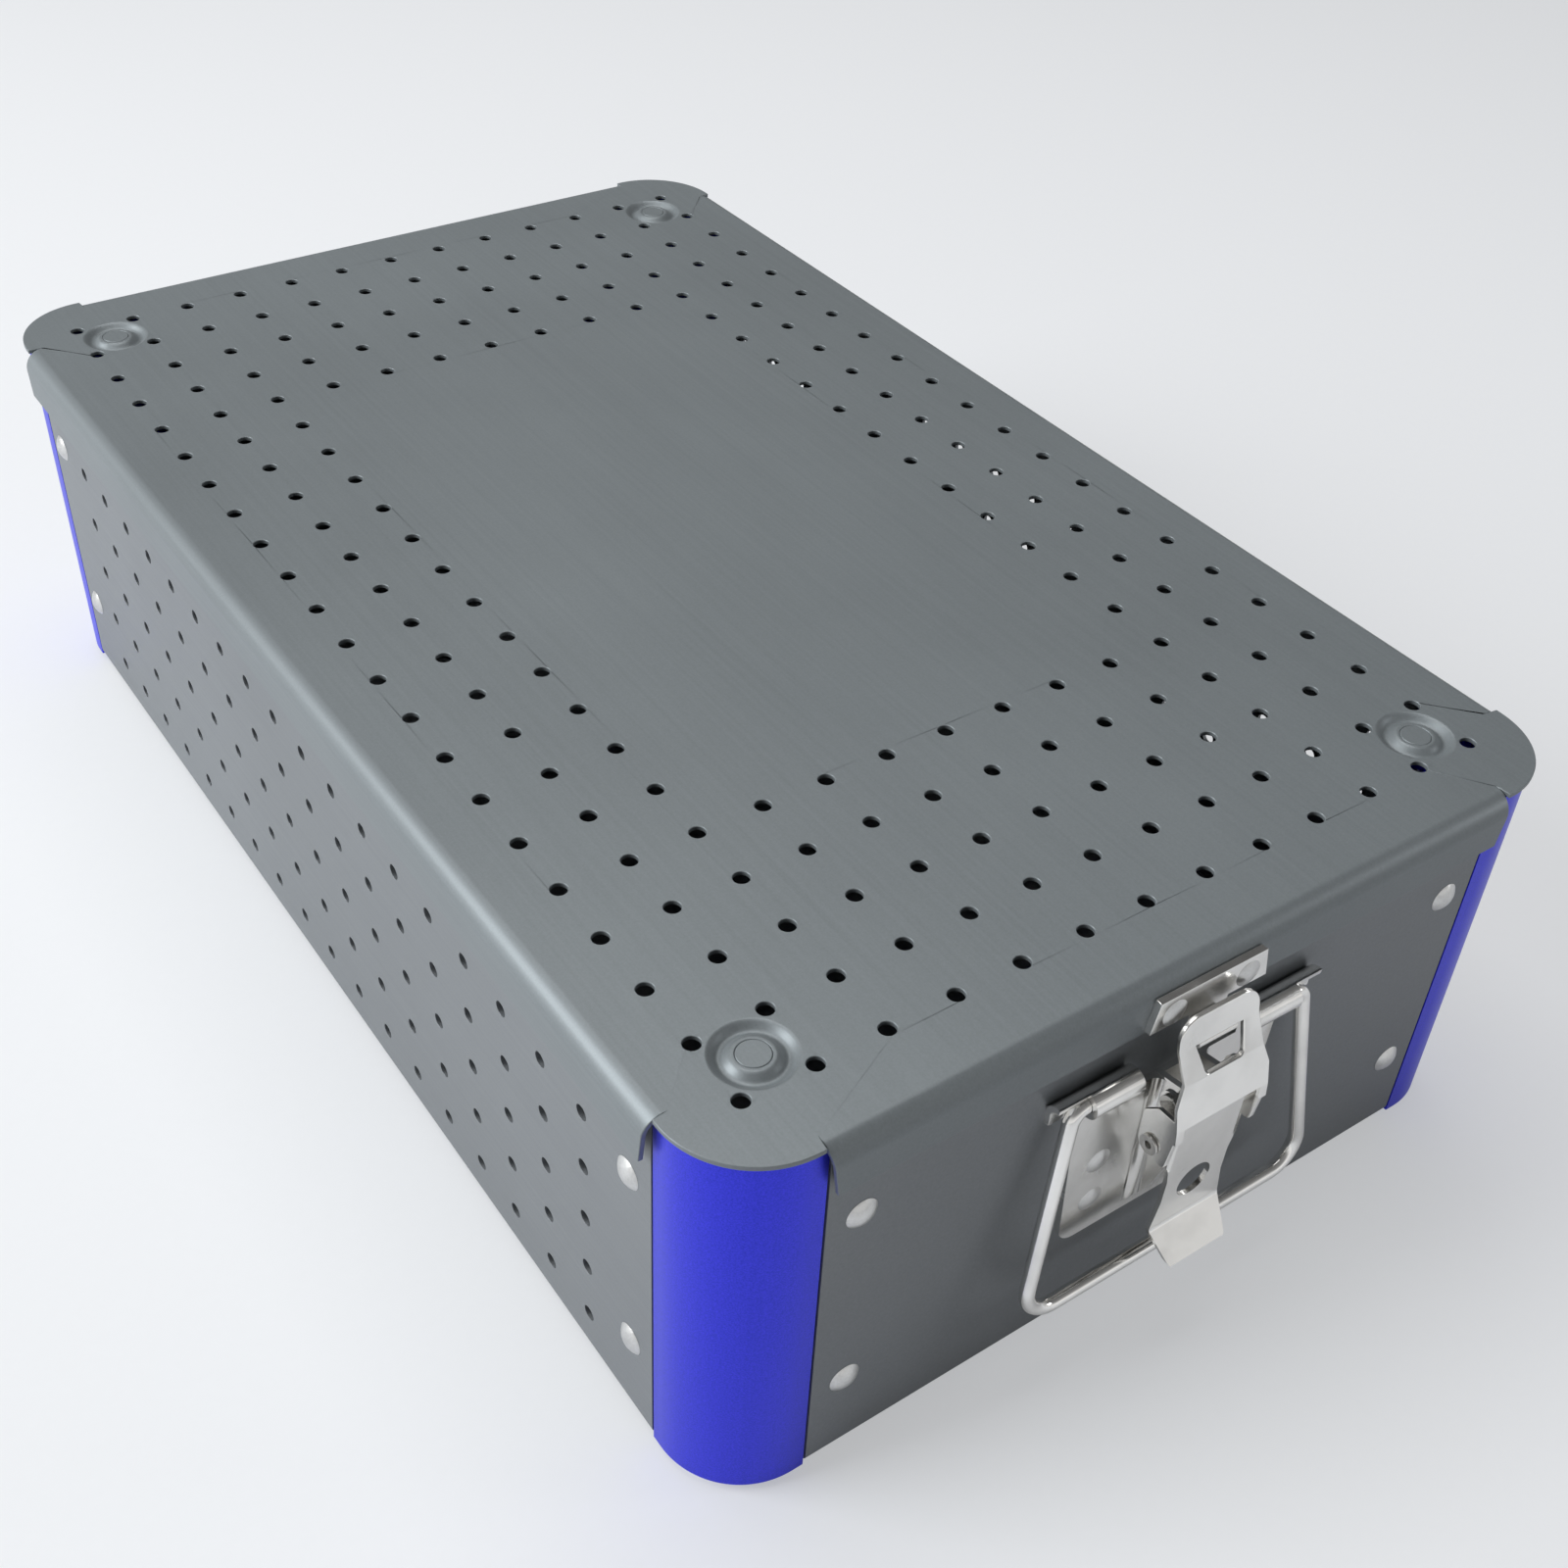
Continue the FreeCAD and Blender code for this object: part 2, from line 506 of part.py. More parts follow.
def make_corner_profile(label, side, end):
    """Extrude one corner profile with its two recessed tongues; side and end are 1 or -1."""
    body = make_body(label)

    def spot(from_side, from_end):
        return ("%d * (case_width / 2 - (%s))" % (side, from_side),
                "%d * (case_length / 2 - (%s))" % (end, from_end))

    reach, tip = "corner_reach", "(corner_reach + tongue_length)"
    skin, deep = "tongue_skin", "profile_depth"
    sketch = make_sketch(body, "XY_Plane", "foot_height")
    draw_outline(sketch, [spot("0", reach), spot("0", "0"), spot(reach, "0"), spot(reach, skin),
                          spot(tip, skin), spot(tip, deep), spot(deep, deep), spot(deep, tip),
                          spot(skin, tip), spot(skin, reach)],
                 {1: "corner_radius", 6: "corner_radius - profile_depth"})
    extrude(body, sketch, "profile_top - foot_height")
    for level, depth in (("foot_height", "tongue_bottom - foot_height"),
                         ("profile_top", "profile_top - rim_height")):
        for near_corner, far_corner in ((spot("0", "wall_end"), spot("2 * " + deep, "2 * " + tip)),
                                        (spot("wall_end", "0"), spot("2 * " + tip, "2 * " + deep))):
            heel = make_sketch(body, "XY_Plane", level)
            draw_box(heel, near_corner, far_corner)
            extrude(body, heel, "2 * (%s)" % depth, middle=True, cut=True)
    hole = make_sketch(body, "YZ_Plane")
    draw_circle(hole, ("%d * (case_length / 2 - rivet_inset)" % end, "rivet_low"),
                "rivet_shank + hole_play")
    side_cut = extrude(body, hole, cut=True)
    hole = make_sketch(body, "XZ_Plane")
    draw_circle(hole, ("%d * (case_width / 2 - rivet_inset)" % side, "rivet_low"),
                "rivet_shank + hole_play")
    repeat(body, [side_cut, extrude(body, hole, cut=True)], [("Z_Axis", "rivet_rise", "2")])
    return body


def rivet_outline(grip, shank, head, dome, tail_height="rivet_tail_height", tail="rivet_tail"):
    """Half outline of a rivet as (axial, radial) pairs; zero is the face that its head sits on."""
    return [("-(%s) - %s" % (grip, tail_height), "0"),
            ("-(%s) - %s" % (grip, tail_height), "%s + %s" % (shank, tail)),
            ("-(%s)" % grip, "%s + %s" % (shank, tail)), ("-(%s)" % grip, shank), ("0", shank),
            ("0", head), (dome, "0")]


def make_wall_rivets():
    """Turn the domed rivets that hold the walls to the corner profiles."""
    body = make_body("wall_rivets")
    outline = rivet_outline("profile_depth", "rivet_shank", "rivet_head", "rivet_dome")
    side = make_sketch(body, "XY_Plane", "rivet_low", ("case_width / 2", "case_length / 2 - rivet_inset"))
    draw_outline(side, outline, dome=5)
    side_rivet = revolve(body, side, "H_Axis")
    end = make_sketch(body, "XY_Plane", "rivet_low", ("case_width / 2 - rivet_inset", "case_length / 2"))
    draw_outline(end, [(radial, axial) for axial, radial in outline], dome=5)
    end_rivet = revolve(body, end, "V_Axis")
    repeat(body, [side_rivet, end_rivet], [("Z_Axis", "rivet_rise", "2"), ("YZ_Plane",), ("XZ_Plane",)])
    return body


def make_feet():
    """Turn four cupped feet that nest in the recesses of the lid below."""
    body = make_body("stacking_feet")
    sketch = make_sketch(body, "XZ_Plane", "-stack_y", ("stack_x", "0"))
    draw_outline(sketch, [("small_shank + hole_play", "foot_cup_depth"), ("foot_cup", "foot_cup_depth"),
                          ("foot_cup", "0"), ("foot_radius", "0"), ("foot_radius", "foot_height"),
                          ("small_shank + hole_play", "foot_height")])
    repeat(body, [revolve(body, sketch, "V_Axis")], [("YZ_Plane",), ("XZ_Plane",)])
    return body


def make_foot_rivets():
    """Turn the rivets that hold the feet to the floor."""
    body = make_body("foot_rivets")
    sketch = make_sketch(body, "XZ_Plane", "-stack_y", ("stack_x", "foot_cup_depth"))
    outline = rivet_outline("foot_height - foot_cup_depth + sheet", "small_shank", "small_head",
                            "foot_rivet_head")
    draw_outline(sketch, [(radial, "-(%s)" % axial) for axial, radial in outline], dome=5)
    repeat(body, [revolve(body, sketch, "V_Axis")], [("YZ_Plane",), ("XZ_Plane",)])
    return body


# The end brackets


def make_bracket(label, front):
    """Form one bracket: a plate with two curled barrels and two upright cheeks for the lever."""
    body = make_body(label)
    plate = make_sketch(body, "XZ_Plane")
    right = [("barrel_inner_end", below("wing_top_drop")), ("barrel_inner_end", below("barrel_drop")),
             ("lip_outer_end", below("barrel_drop")), ("lip_outer_end", below("barrel_drop + barrel_radius")),
             ("barrel_outer_end", below("barrel_drop + barrel_radius")),
             ("wing_half_width", below("wing_bottom_drop"))]
    draw_outline(plate, mirrored_outline(right), {5: "wing_corner", 6: "wing_corner"})
    extrude(body, plate, "bracket_sheet")
    cheek = make_sketch(body, "YZ_Plane", "cheek_span / 2 - bracket_sheet")
    eye = "(lever_pin_stand + cheek_eye)"
    draw_outline(cheek, [at("0", "wing_top_drop"), at(eye, "lever_pin_drop - cheek_eye"),
                         at(eye, "cheek_brow_drop"), at("cheek_knee_stand", "cheek_knee_drop"),
                         at("cheek_shin_stand", "cheek_shin_drop"), at("0", "wing_bottom_drop")],
                 {1: "cheek_eye", 3: "2 * cheek_eye", 4: "2 * cheek_eye"})
    repeat(body, [extrude(body, cheek, "bracket_sheet")], [("YZ_Plane",)])
    fillet(body, "cheek_root", lambda edge: near(edge, x="cheek_span / 2", y="bracket_sheet"))
    add_barrels(body)
    repeat(body, [cut_bracket_rivet_hole(body)], [("Z_Axis", "bracket_rivet_pitch", "2"), ("YZ_Plane",)])
    pivot = make_sketch(body, "YZ_Plane")
    draw_circle(pivot, at("lever_pin_stand", "lever_pin_drop"), "pin_radius + hole_play")
    extrude(body, pivot, "cheek_span + bracket_sheet", middle=True, cut=True)
    return place_at_end(body, front)


def add_barrels(body):
    """Curl the bracket's two barrels, each with a half barrel over the bail's bend."""
    axis_z = below("barrel_drop")
    middle = ("-barrel_radius", axis_z)
    curl = make_sketch(body, "YZ_Plane", "barrel_inner_end")
    draw_circle(curl, middle, "barrel_radius")
    repeat(body, [extrude(body, curl, "lip_outer_end - barrel_inner_end")], [("YZ_Plane",)])
    bore = make_sketch(body, "YZ_Plane")
    draw_circle(bore, middle, "barrel_bore")
    extrude(body, bore, cut=True)
    opening = make_sketch(body, "YZ_Plane", "barrel_outer_end")
    edge = ("-barrel_radius - 3 * barrel_radius * cos(lip_angle)",
            axis_z + " + 3 * barrel_radius * sin(lip_angle)")
    draw_outline(opening, [middle, edge, ("-4 * barrel_radius", edge[1]),
                           ("-4 * barrel_radius", axis_z + " - 2 * barrel_radius"),
                           ("-bracket_sheet", axis_z + " - 2 * barrel_radius"), ("-bracket_sheet", axis_z)])
    opened = extrude(body, opening, "2 * (lip_outer_end - barrel_outer_end)", cut=True, reverse=True)
    slit = make_sketch(body, "YZ_Plane", "barrel_inner_end - curl_gap")
    draw_box(slit, ("-bracket_sheet - curl_gap", axis_z + " - 2 * barrel_radius"),
             ("-bracket_sheet", axis_z + " - barrel_bore / 2"))
    slit_cut = extrude(body, slit, "barrel_outer_end - barrel_inner_end + 2 * curl_gap", cut=True,
                       reverse=True)
    repeat(body, [opened, slit_cut], [("YZ_Plane",)])


def make_end_rivets(label, stand, grip, across, up, rises):
    """Turn a group of small rivets along Y, alike at both ends of the case."""
    body = make_body(label)
    sketch = make_sketch(body, "XY_Plane", up, (across, "-case_length / 2 - (%s)" % stand))
    outline = rivet_outline(grip, "small_shank", "small_head", "small_dome")
    draw_outline(sketch, [(radial, "-(%s)" % axial) for axial, radial in outline], dome=5)
    repeat(body, [revolve(body, sketch, "V_Axis")], rises + [("YZ_Plane",), ("XZ_Plane",)])
    return body


def make_lever_pin(label, front):
    """Turn the pin that carries the lever in the bracket's cheeks."""
    body = make_body(label)
    sketch = make_sketch(body, "XY_Plane", below("lever_pin_drop"), ("0", "-lever_pin_stand"))
    side = "(lever_top_width / 2 + pin_side_play)"
    end = "(%s + pin_head_height)" % side
    right = [(end, "0"), (end, "pin_head"), (side, "pin_head"), (side, "pin_radius")]
    left = [("-" + axial, radial) for axial, radial in reversed(right)]
    draw_outline(sketch, right + left)
    revolve(body, sketch, "H_Axis")
    return place_at_end(body, front)


# The lid


def make_lid_panel():
    """Fold the lid's top and four flanges, leave its corner lobes flat, punch and press it."""
    body = make_body("lid_panel")
    fold_tray(body, "lid_half_width", "lid_half_length", "total_height - flange_depth", "total_height",
              "lid_bend", False)
    corner = make_sketch(body, "XY_Plane")
    end_x, end_y = "case_width / 2 - wall_end", "case_length / 2 - wall_end"
    draw_box(corner, (end_x, end_y), ("lid_half_width + sheet", "lid_half_length + sheet"))
    repeat(body, [extrude(body, corner, cut=True)], [("YZ_Plane",), ("XZ_Plane",)])
    lobe_x, lobe_y = "case_width / 2 + lobe_overhang", "case_length / 2 + lobe_overhang"
    notch_x = "lid_half_width - lid_bend - notch_inset"
    notch_y = "lid_half_length - lid_bend - notch_inset"
    lobe = make_sketch(body, "XY_Plane", "total_height - sheet")
    draw_outline(lobe, [(end_x + " - sheet", end_y + " - sheet"), (notch_x, end_y + " - sheet"),
                        (notch_x, end_y + " + notch_root"), (lobe_x, end_y + " + notch_width"),
                        (lobe_x, lobe_y), (end_x + " + notch_width", lobe_y),
                        (end_x + " + notch_root", notch_y), (end_x + " - sheet", notch_y)],
                 {4: "corner_radius + lobe_overhang"})
    repeat(body, [extrude(body, lobe, "sheet")], [("YZ_Plane",), ("XZ_Plane",)])
    punch_lid(body)
    press_recesses(body)
    hole = make_sketch(body, "XZ_Plane")
    draw_circle(hole, ("keeper_rivet_span / 2", below("keeper_rivet_drop")), "small_shank + hole_play")
    repeat(body, [extrude(body, hole, cut=True)], [("YZ_Plane",)])
    return body


def punch_lid(body):
    """Punch full rows of steam holes near both ends and a few rows beside the plain middle."""
    first = ("-hole_pitch * (lid_rows - 1) / 2", "-hole_pitch * (lid_columns - 1) / 2")
    for place, steps in (
            (first, [("X_Axis", "hole_pitch", "lid_rows"), ("Y_Axis", "hole_pitch", "end_columns"),
                     ("XZ_Plane",)]),
            ((first[0], first[1] + " + hole_pitch * end_columns"),
             [("X_Axis", "hole_pitch", "side_rows"),
              ("Y_Axis", "hole_pitch", "lid_columns - 2 * end_columns"), ("YZ_Plane",)])):
        hole = make_sketch(body, "XY_Plane", "total_height")
        draw_circle(hole, place, "hole_radius")
        repeat(body, [extrude(body, hole, "2 * sheet", cut=True)], steps)


def press_recesses(body):
    """Press the four round stacking recesses, each with a raised and pierced boss."""
    blank = make_sketch(body, "XY_Plane", "total_height")
    draw_circle(blank, ("stack_x", "stack_y"), "recess_radius")
    cleared = extrude(body, blank, "2 * sheet", cut=True)
    section = make_sketch(body, "XZ_Plane", "-stack_y", ("stack_x", "total_height"))
    face = [("button_radius + hole_play", "0"), ("recess_boss", "0"),
            ("recess_boss + recess_slope", "-recess_depth"),
            ("recess_radius - recess_slope", "-recess_depth"), ("recess_radius", "0")]
    draw_outline(section, face + [(across, up + " - sheet") for across, up in reversed(face)])
    pressed = revolve(body, section, "V_Axis")
    repeat(body, [cleared, pressed], [("YZ_Plane",), ("XZ_Plane",)])


def make_boss_rivets():
    """Turn the flush rivets in the bosses of the stacking recesses."""
    body = make_body("lid_boss_rivets")
    sketch = make_sketch(body, "XZ_Plane", "-stack_y", ("stack_x", "total_height"))
    low = "-sheet - button_flange_height"
    draw_outline(sketch, [("0", "0"), ("button_radius", "0"), ("button_radius", "-sheet"),
                          ("button_radius + button_flange", "-sheet"),
                          ("button_radius + button_flange", low), ("0", low)])
    repeat(body, [revolve(body, sketch, "V_Axis")], [("YZ_Plane",), ("XZ_Plane",)])
    return body


def make_keeper(label, front):
    """Form one keeper: a plate on the lid's flange with a hook for the latch loop."""
    body = make_body(label)
    plate = make_sketch(body, "XZ_Plane", "flange_face")
    right = [("keeper_width / 2 - keeper_taper", below("keeper_top")),
             ("keeper_width / 2", below("keeper_bottom"))]
    draw_outline(plate, mirrored_outline(right))
    extrude(body, plate, "keeper_sheet")
    hook = make_sketch(body, "YZ_Plane")
    fall = "(hook_top + ((%s) - bar_inner) * tan(hook_fall))"
    thick = "(keeper_sheet / cos(hook_fall))"
    nose, root, back = fall % "loop_bar_stand", fall % "keeper_face", fall % "flange_face"
    draw_outline(hook, [at("flange_face", "keeper_bottom - keeper_sheet"),
                        at("keeper_face", "keeper_bottom - keeper_sheet"), at("keeper_face", root),
                        at("loop_bar_stand", nose), at("loop_bar_stand", "%s + %s" % (nose, thick)),
                        at("flange_face", "%s + %s" % (back, thick))],
                 {2: "hook_bend - keeper_sheet", 3: "0.47 * keeper_sheet", 4: "0.47 * keeper_sheet",
                  5: "hook_bend"})
    extrude(body, hook, "hook_width", middle=True)
    hole = make_sketch(body, "XZ_Plane")
    draw_circle(hole, ("keeper_rivet_span / 2", below("keeper_rivet_drop")), "small_shank + hole_play")
    repeat(body, [extrude(body, hole, cut=True)], [("YZ_Plane",)])
    return place_at_end(body, front)


# The latch


def trim_front(body, right, radii, margin):
    """Cut a folded blank to a front outline given by its right half."""
    frame = make_sketch(body, "XZ_Plane")
    draw_outline(frame, mirrored_outline(right), radii)
    wide = "(loop_hood_width + lever_bend_width) / 2"
    draw_box(frame, ("-(%s)" % wide, "(%s) - %s" % (right[-1][1], margin)),
             (wide, "(%s) + %s" % (right[0][1], margin)))
    extrude(body, frame, cut=True)


def make_lever(label, front):
    """Form one lever: a folded face with a thumb tip, a seal hole and two cheeks."""
    body = make_body(label)
    blank = make_sketch(body, "YZ_Plane")
    draw_outline(blank, [at("lever_top_stand", "lever_top_drop"),
                         at("lever_bend_stand", "lever_bend_drop"),
                         at("lever_tip_stand", "lever_tip_drop"),
                         at("lever_tip_stand - lever_sheet * cos(tip_slant)",
                            "lever_tip_drop + lever_sheet * sin(tip_slant)"),
                         at("lever_bend_stand - lever_sheet",
                            "lever_bend_drop + lever_sheet * tan(tip_slant / 2)"),
                         at("lever_top_stand - lever_sheet", "lever_top_drop")],
                 {1: "lever_tip_bend", 4: "lever_tip_bend + lever_sheet"})
    extrude(body, blank, "lever_bend_width + lever_sheet", middle=True)
    neck = "lever_neck_width / 2"
    right = [("lever_top_width / 2", below("lever_top_drop - lever_sheet")),
             ("lever_top_width / 2", below("lever_cheek_drop")),
             (neck, below("seal_hole_drop - seal_hole_radius")),
             (neck, below("seal_hole_drop + seal_hole_radius / 2")),
             ("lever_bend_width / 2", below("lever_bend_drop")),
             ("lever_tip_width / 2", below("lever_tip_drop + lever_sheet"))]
    radii = {5: "lever_tip_corner", 6: "lever_tip_corner", 4: "lever_tip_corner", 7: "lever_tip_corner"}
    trim_front(body, right, radii, "4 * lever_sheet")
    face = "(lever_top_stand - lever_sheet / 2)"
    cheek = make_sketch(body, "YZ_Plane", "lever_top_width / 2 - lever_sheet")
    eye = "lever_pin_stand - lever_eye"
    low_eye = "loop_pin_stand - lever_eye"
    draw_outline(cheek, [at(face, "lever_top_drop"), at("lever_pin_stand", "lever_pin_drop - lever_eye"),
                         at(eye, "lever_pin_drop - lever_eye"), at(low_eye, "loop_pin_drop + lever_eye"),
                         at(face + " - lever_sheet / 2", "lever_cheek_drop")],
                 {2: "0.9 * lever_eye", 3: "0.9 * lever_eye"})
    repeat(body, [extrude(body, cheek, "lever_sheet")], [("YZ_Plane",)])
    fillet(body, "lever_fold", lambda edge: is_fold(edge, "lever_top_width / 2", "lever_cheek_drop",
                                                    "lever_bend_stand"))
    for pin in (("lever_pin_stand", "lever_pin_drop"), ("loop_pin_stand", "loop_pin_drop")):
        hole = make_sketch(body, "YZ_Plane")
        draw_circle(hole, at(*pin), "pin_radius + hole_play")
        extrude(body, hole, cut=True)
    seal = make_sketch(body, "XZ_Plane")
    draw_circle(seal, ("0", below("seal_hole_drop")), "seal_hole_radius")
    extrude(body, seal, cut=True)
    return place_at_end(body, front)


def is_fold(edge, across, low_drop, stand):
    """Whether a straight edge lies on a folded side's outer face, above a drop and beyond a stand."""
    point = edge.valueAt((edge.FirstParameter + edge.LastParameter) / 2)
    return (is_straight(edge) and abs(edge.tangentAt(edge.FirstParameter).z) > 0.9
            and near(edge, x=across) and point.z > value(below(low_drop)) and -point.y > value(stand))


def make_loop_pins(label, front):
    """Turn the two hollow stub pins that carry the loop on the lever's cheeks."""
    body = make_body(label)
    sketch = make_sketch(body, "XY_Plane", below("loop_pin_drop"), ("0", "-loop_pin_stand"))
    cheek = "lever_top_width / 2"
    ear = "loop_hood_width / 2"
    collar = "pin_radius + pin_head_height"
    inner, outer = cheek + " - lever_sheet", ear + " + pin_side_play"
    head = "(%s + pin_head_height)" % outer
    draw_outline(sketch, [("%s - pin_head_height" % inner, "0"), ("%s - pin_head_height" % inner, "pin_head"),
                          (inner, "pin_head"), (inner, "pin_radius"), (cheek, "pin_radius"),
                          (cheek, collar), (ear + " - loop_sheet - pin_side_play", collar),
                          (ear + " - loop_sheet - pin_side_play", "pin_radius"), (outer, "pin_radius"),
                          (outer, "pin_head"), (head, "pin_head"), (head, "pin_bore"),
                          (head + " - pin_bore_depth", "pin_bore"), (head + " - pin_bore_depth", "0")])
    repeat(body, [revolve(body, sketch, "H_Axis")], [("YZ_Plane",)])
    return place_at_end(body, front)


def make_loop(label, front):
    """Form one latch loop: a window frame, a hood over the lever and two ears on the pins."""
    body = make_body(label)
    blank = make_sketch(body, "YZ_Plane")
    rows = [("loop_top_stand", "loop_top_drop"), ("loop_bar_stand", "loop_bar_drop"),
            ("loop_waist_stand", "loop_waist_drop"), ("loop_hem_stand", "loop_hem_drop"),
            ("loop_lobe_stand", "loop_lobe_drop")]
    back = [at(stand + " - loop_sheet", drop) for stand, drop in reversed(rows)]
    draw_outline(blank, [at(*row) for row in rows] + back)
    extrude(body, blank, "loop_hood_width", middle=True)
    frame, hood, hem = "loop_frame_width / 2", "loop_hood_width / 2", "loop_hem_width / 2"
    right = [(frame, below("loop_top_drop")), (frame, below("loop_waist_drop")),
             (hood, below("loop_flare_drop")), (hood, below("loop_lobe_drop")),
             (hem, below("loop_lobe_drop")), (hem, below("loop_hem_drop"))]
    sketch_radii = {0: "loop_corner", 11: "loop_corner", 4: "loop_sheet / 2", 7: "loop_sheet / 2"}
    trim_loop(body, right, sketch_radii)
    window = make_sketch(body, "XZ_Plane")
    low = "loop_bar_drop + window_height"
    draw_outline(window, [("window_top_width / 2", below("loop_bar_drop")),
                          ("window_low_width / 2", below(low)), ("-window_low_width / 2", below(low)),
                          ("-window_top_width / 2", below("loop_bar_drop"))],
                 {1: "loop_sheet", 2: "loop_sheet"})
    extrude(body, window, cut=True)
    ear = make_sketch(body, "YZ_Plane", "loop_hood_width / 2 - loop_sheet")
    inner = "(loop_hem_stand - loop_sheet / 2)"
    draw_outline(ear, [at("loop_pin_stand", "ear_top_drop"), at(inner, "ear_top_drop"),
                       at("loop_lobe_stand - loop_sheet / 2", "loop_lobe_drop"),
                       at("ear_low_stand", "loop_pin_drop + loop_eye"),
                       at("loop_pin_stand - loop_eye", "loop_pin_drop + loop_eye"),
                       at("loop_pin_stand - loop_eye", "ear_top_drop + loop_eye")],
                 {3: "loop_fold", 4: "0.95 * loop_eye", 5: "loop_eye / 2"})
    repeat(body, [extrude(body, ear, "loop_sheet")], [("YZ_Plane",)])
    hole = make_sketch(body, "YZ_Plane")
    draw_circle(hole, at("loop_pin_stand", "loop_pin_drop"), "pin_radius + hole_play")
    extrude(body, hole, cut=True)
    return place_at_end(body, front)


def trim_loop(body, right, radii):
    """Cut the loop's folded blank to its front outline."""
    frame = make_sketch(body, "XZ_Plane")
    draw_outline(frame, mirrored_outline(right), radii)
    wide = "loop_hood_width"
    draw_box(frame, ("-" + wide, below("loop_lobe_drop + 4 * loop_sheet")),
             (wide, below("loop_top_drop - 4 * loop_sheet")))
    extrude(body, frame, cut=True)


# The bails


def make_bail(label, front):
    """Bend one bail from round wire and hang it in its barrels."""
    body = make_body(label)
    path = make_sketch(body, "XZ_Plane")
    draw_outline(path, [("-bail_inner_end", "0"), ("-bail_top_half", "0"), ("-bail_low_half", "-bail_reach"),
                        ("bail_low_half", "-bail_reach"), ("bail_top_half", "0"), ("bail_inner_end", "0")],
                 {1: "bail_top_bend", 2: "bail_low_bend", 3: "bail_low_bend", 4: "bail_top_bend"},
                 closed=False)
    section = make_sketch(body, "YZ_Plane", "-bail_inner_end")
    draw_circle(section, ("0", "0"), "bail_wire")
    document.recompute()
    wire = body.newObject("PartDesign::AdditivePipe", label + "_wire")
    wire.Profile = section
    wire.Spine = (path, [])
    body.Tip = wire
    outward = -1 if front else 1
    body.Placement = FreeCAD.Placement(FreeCAD.Vector(),
                                       FreeCAD.Rotation(FreeCAD.Vector(outward, 0, 0), 1))
    body.setExpression("Placement.Rotation.Angle", bound("bail_lean"))
    body.setExpression("Placement.Base.y", bound("%d * (case_length / 2 + barrel_radius)" % outward))
    body.setExpression("Placement.Base.z", bound(below("barrel_drop")))
    document.recompute()
    return body


def make_all():
    """Build every sub-part."""
    bodies = [make_base_pan(), make_wall_rivets(), make_feet(), make_foot_rivets()]
    for side, across in ((-1, "left"), (1, "right")):
        for end, along in ((-1, "front"), (1, "back")):
            bodies.append(make_corner_profile("corner_profile_%s_%s" % (along, across), side, end))
    bodies.append(make_lid_panel())
    bodies.append(make_boss_rivets())
    bodies.append(make_end_rivets("bracket_rivets", "bracket_sheet", "bracket_sheet + sheet",
                                  "bracket_rivet_span / 2",
                                  below("bracket_rivet_drop + bracket_rivet_pitch"),
                                  [("Z_Axis", "bracket_rivet_pitch", "2")]))
    bodies.append(make_end_rivets("keeper_rivets", "keeper_face", "keeper_sheet + sheet",
                                  "keeper_rivet_span / 2", below("keeper_rivet_drop"), []))
    for end, front in (("front", True), ("back", False)):
        bodies += [make_bracket(end + "_bracket", front), make_lever_pin(end + "_lever_pin", front),
                   make_keeper(end + "_keeper", front), make_lever(end + "_lever", front),
                   make_loop_pins(end + "_loop_pins", front), make_loop(end + "_loop", front),
                   make_bail(end + "_bail", front)]
    document.recompute()
    return bodies


def check_and_write(bodies):
    """Stop on any failed object or bad shape, then write each sub-part."""
    for item in document.Objects:
        if "Invalid" in item.State or "Error" in item.State:
            raise RuntimeError("%s failed: %s" % (item.Name, item.State))
    os.makedirs("parts", exist_ok=True)
    for body in bodies:
        shape = body.Shape
        if shape.isNull() or not shape.isValid() or not shape.Solids:
            raise RuntimeError("%s has no sound shape" % body.Label)
        shape.exportStep("parts/%s.step" % body.Label)
        print("%-28s %3d solids %10.1f mm3" % (body.Label, len(shape.Solids), shape.Volume))


check_and_write(make_all())
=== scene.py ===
"""Studio scene of a perforated sterilization container with a lift-off lid and two latched ends.

Metres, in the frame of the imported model: X across, Y along, +Z up out of the lid, and the end that
faces the camera at -Y. Sheet parts, corner profiles and bails are formed here, and the small
fittings are softened copies of their solids.
"""
import json
import logging
import math
from collections.abc import Callable, Iterable, Sequence
from dataclasses import dataclass
from enum import Enum

import bmesh
import bpy
from mathutils import Matrix, Vector
from mathutils.geometry import delaunay_2d_cdt


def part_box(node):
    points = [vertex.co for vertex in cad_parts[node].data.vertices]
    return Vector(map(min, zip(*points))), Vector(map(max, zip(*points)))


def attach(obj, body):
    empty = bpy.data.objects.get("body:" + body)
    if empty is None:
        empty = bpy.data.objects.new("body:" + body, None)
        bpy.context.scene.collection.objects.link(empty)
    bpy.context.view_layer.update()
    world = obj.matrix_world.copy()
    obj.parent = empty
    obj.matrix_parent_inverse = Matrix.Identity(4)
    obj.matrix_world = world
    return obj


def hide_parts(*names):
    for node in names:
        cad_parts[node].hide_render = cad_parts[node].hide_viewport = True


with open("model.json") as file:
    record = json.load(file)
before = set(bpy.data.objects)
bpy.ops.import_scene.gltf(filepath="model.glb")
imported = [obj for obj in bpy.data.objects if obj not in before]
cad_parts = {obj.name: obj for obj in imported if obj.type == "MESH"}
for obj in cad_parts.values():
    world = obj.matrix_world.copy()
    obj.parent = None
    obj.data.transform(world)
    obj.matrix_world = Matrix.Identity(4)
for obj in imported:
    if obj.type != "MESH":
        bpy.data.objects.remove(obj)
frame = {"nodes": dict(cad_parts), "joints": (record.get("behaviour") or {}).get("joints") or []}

LOG = logging.getLogger("container")
MM = 0.001
QUARTER_TURN = math.pi / 2

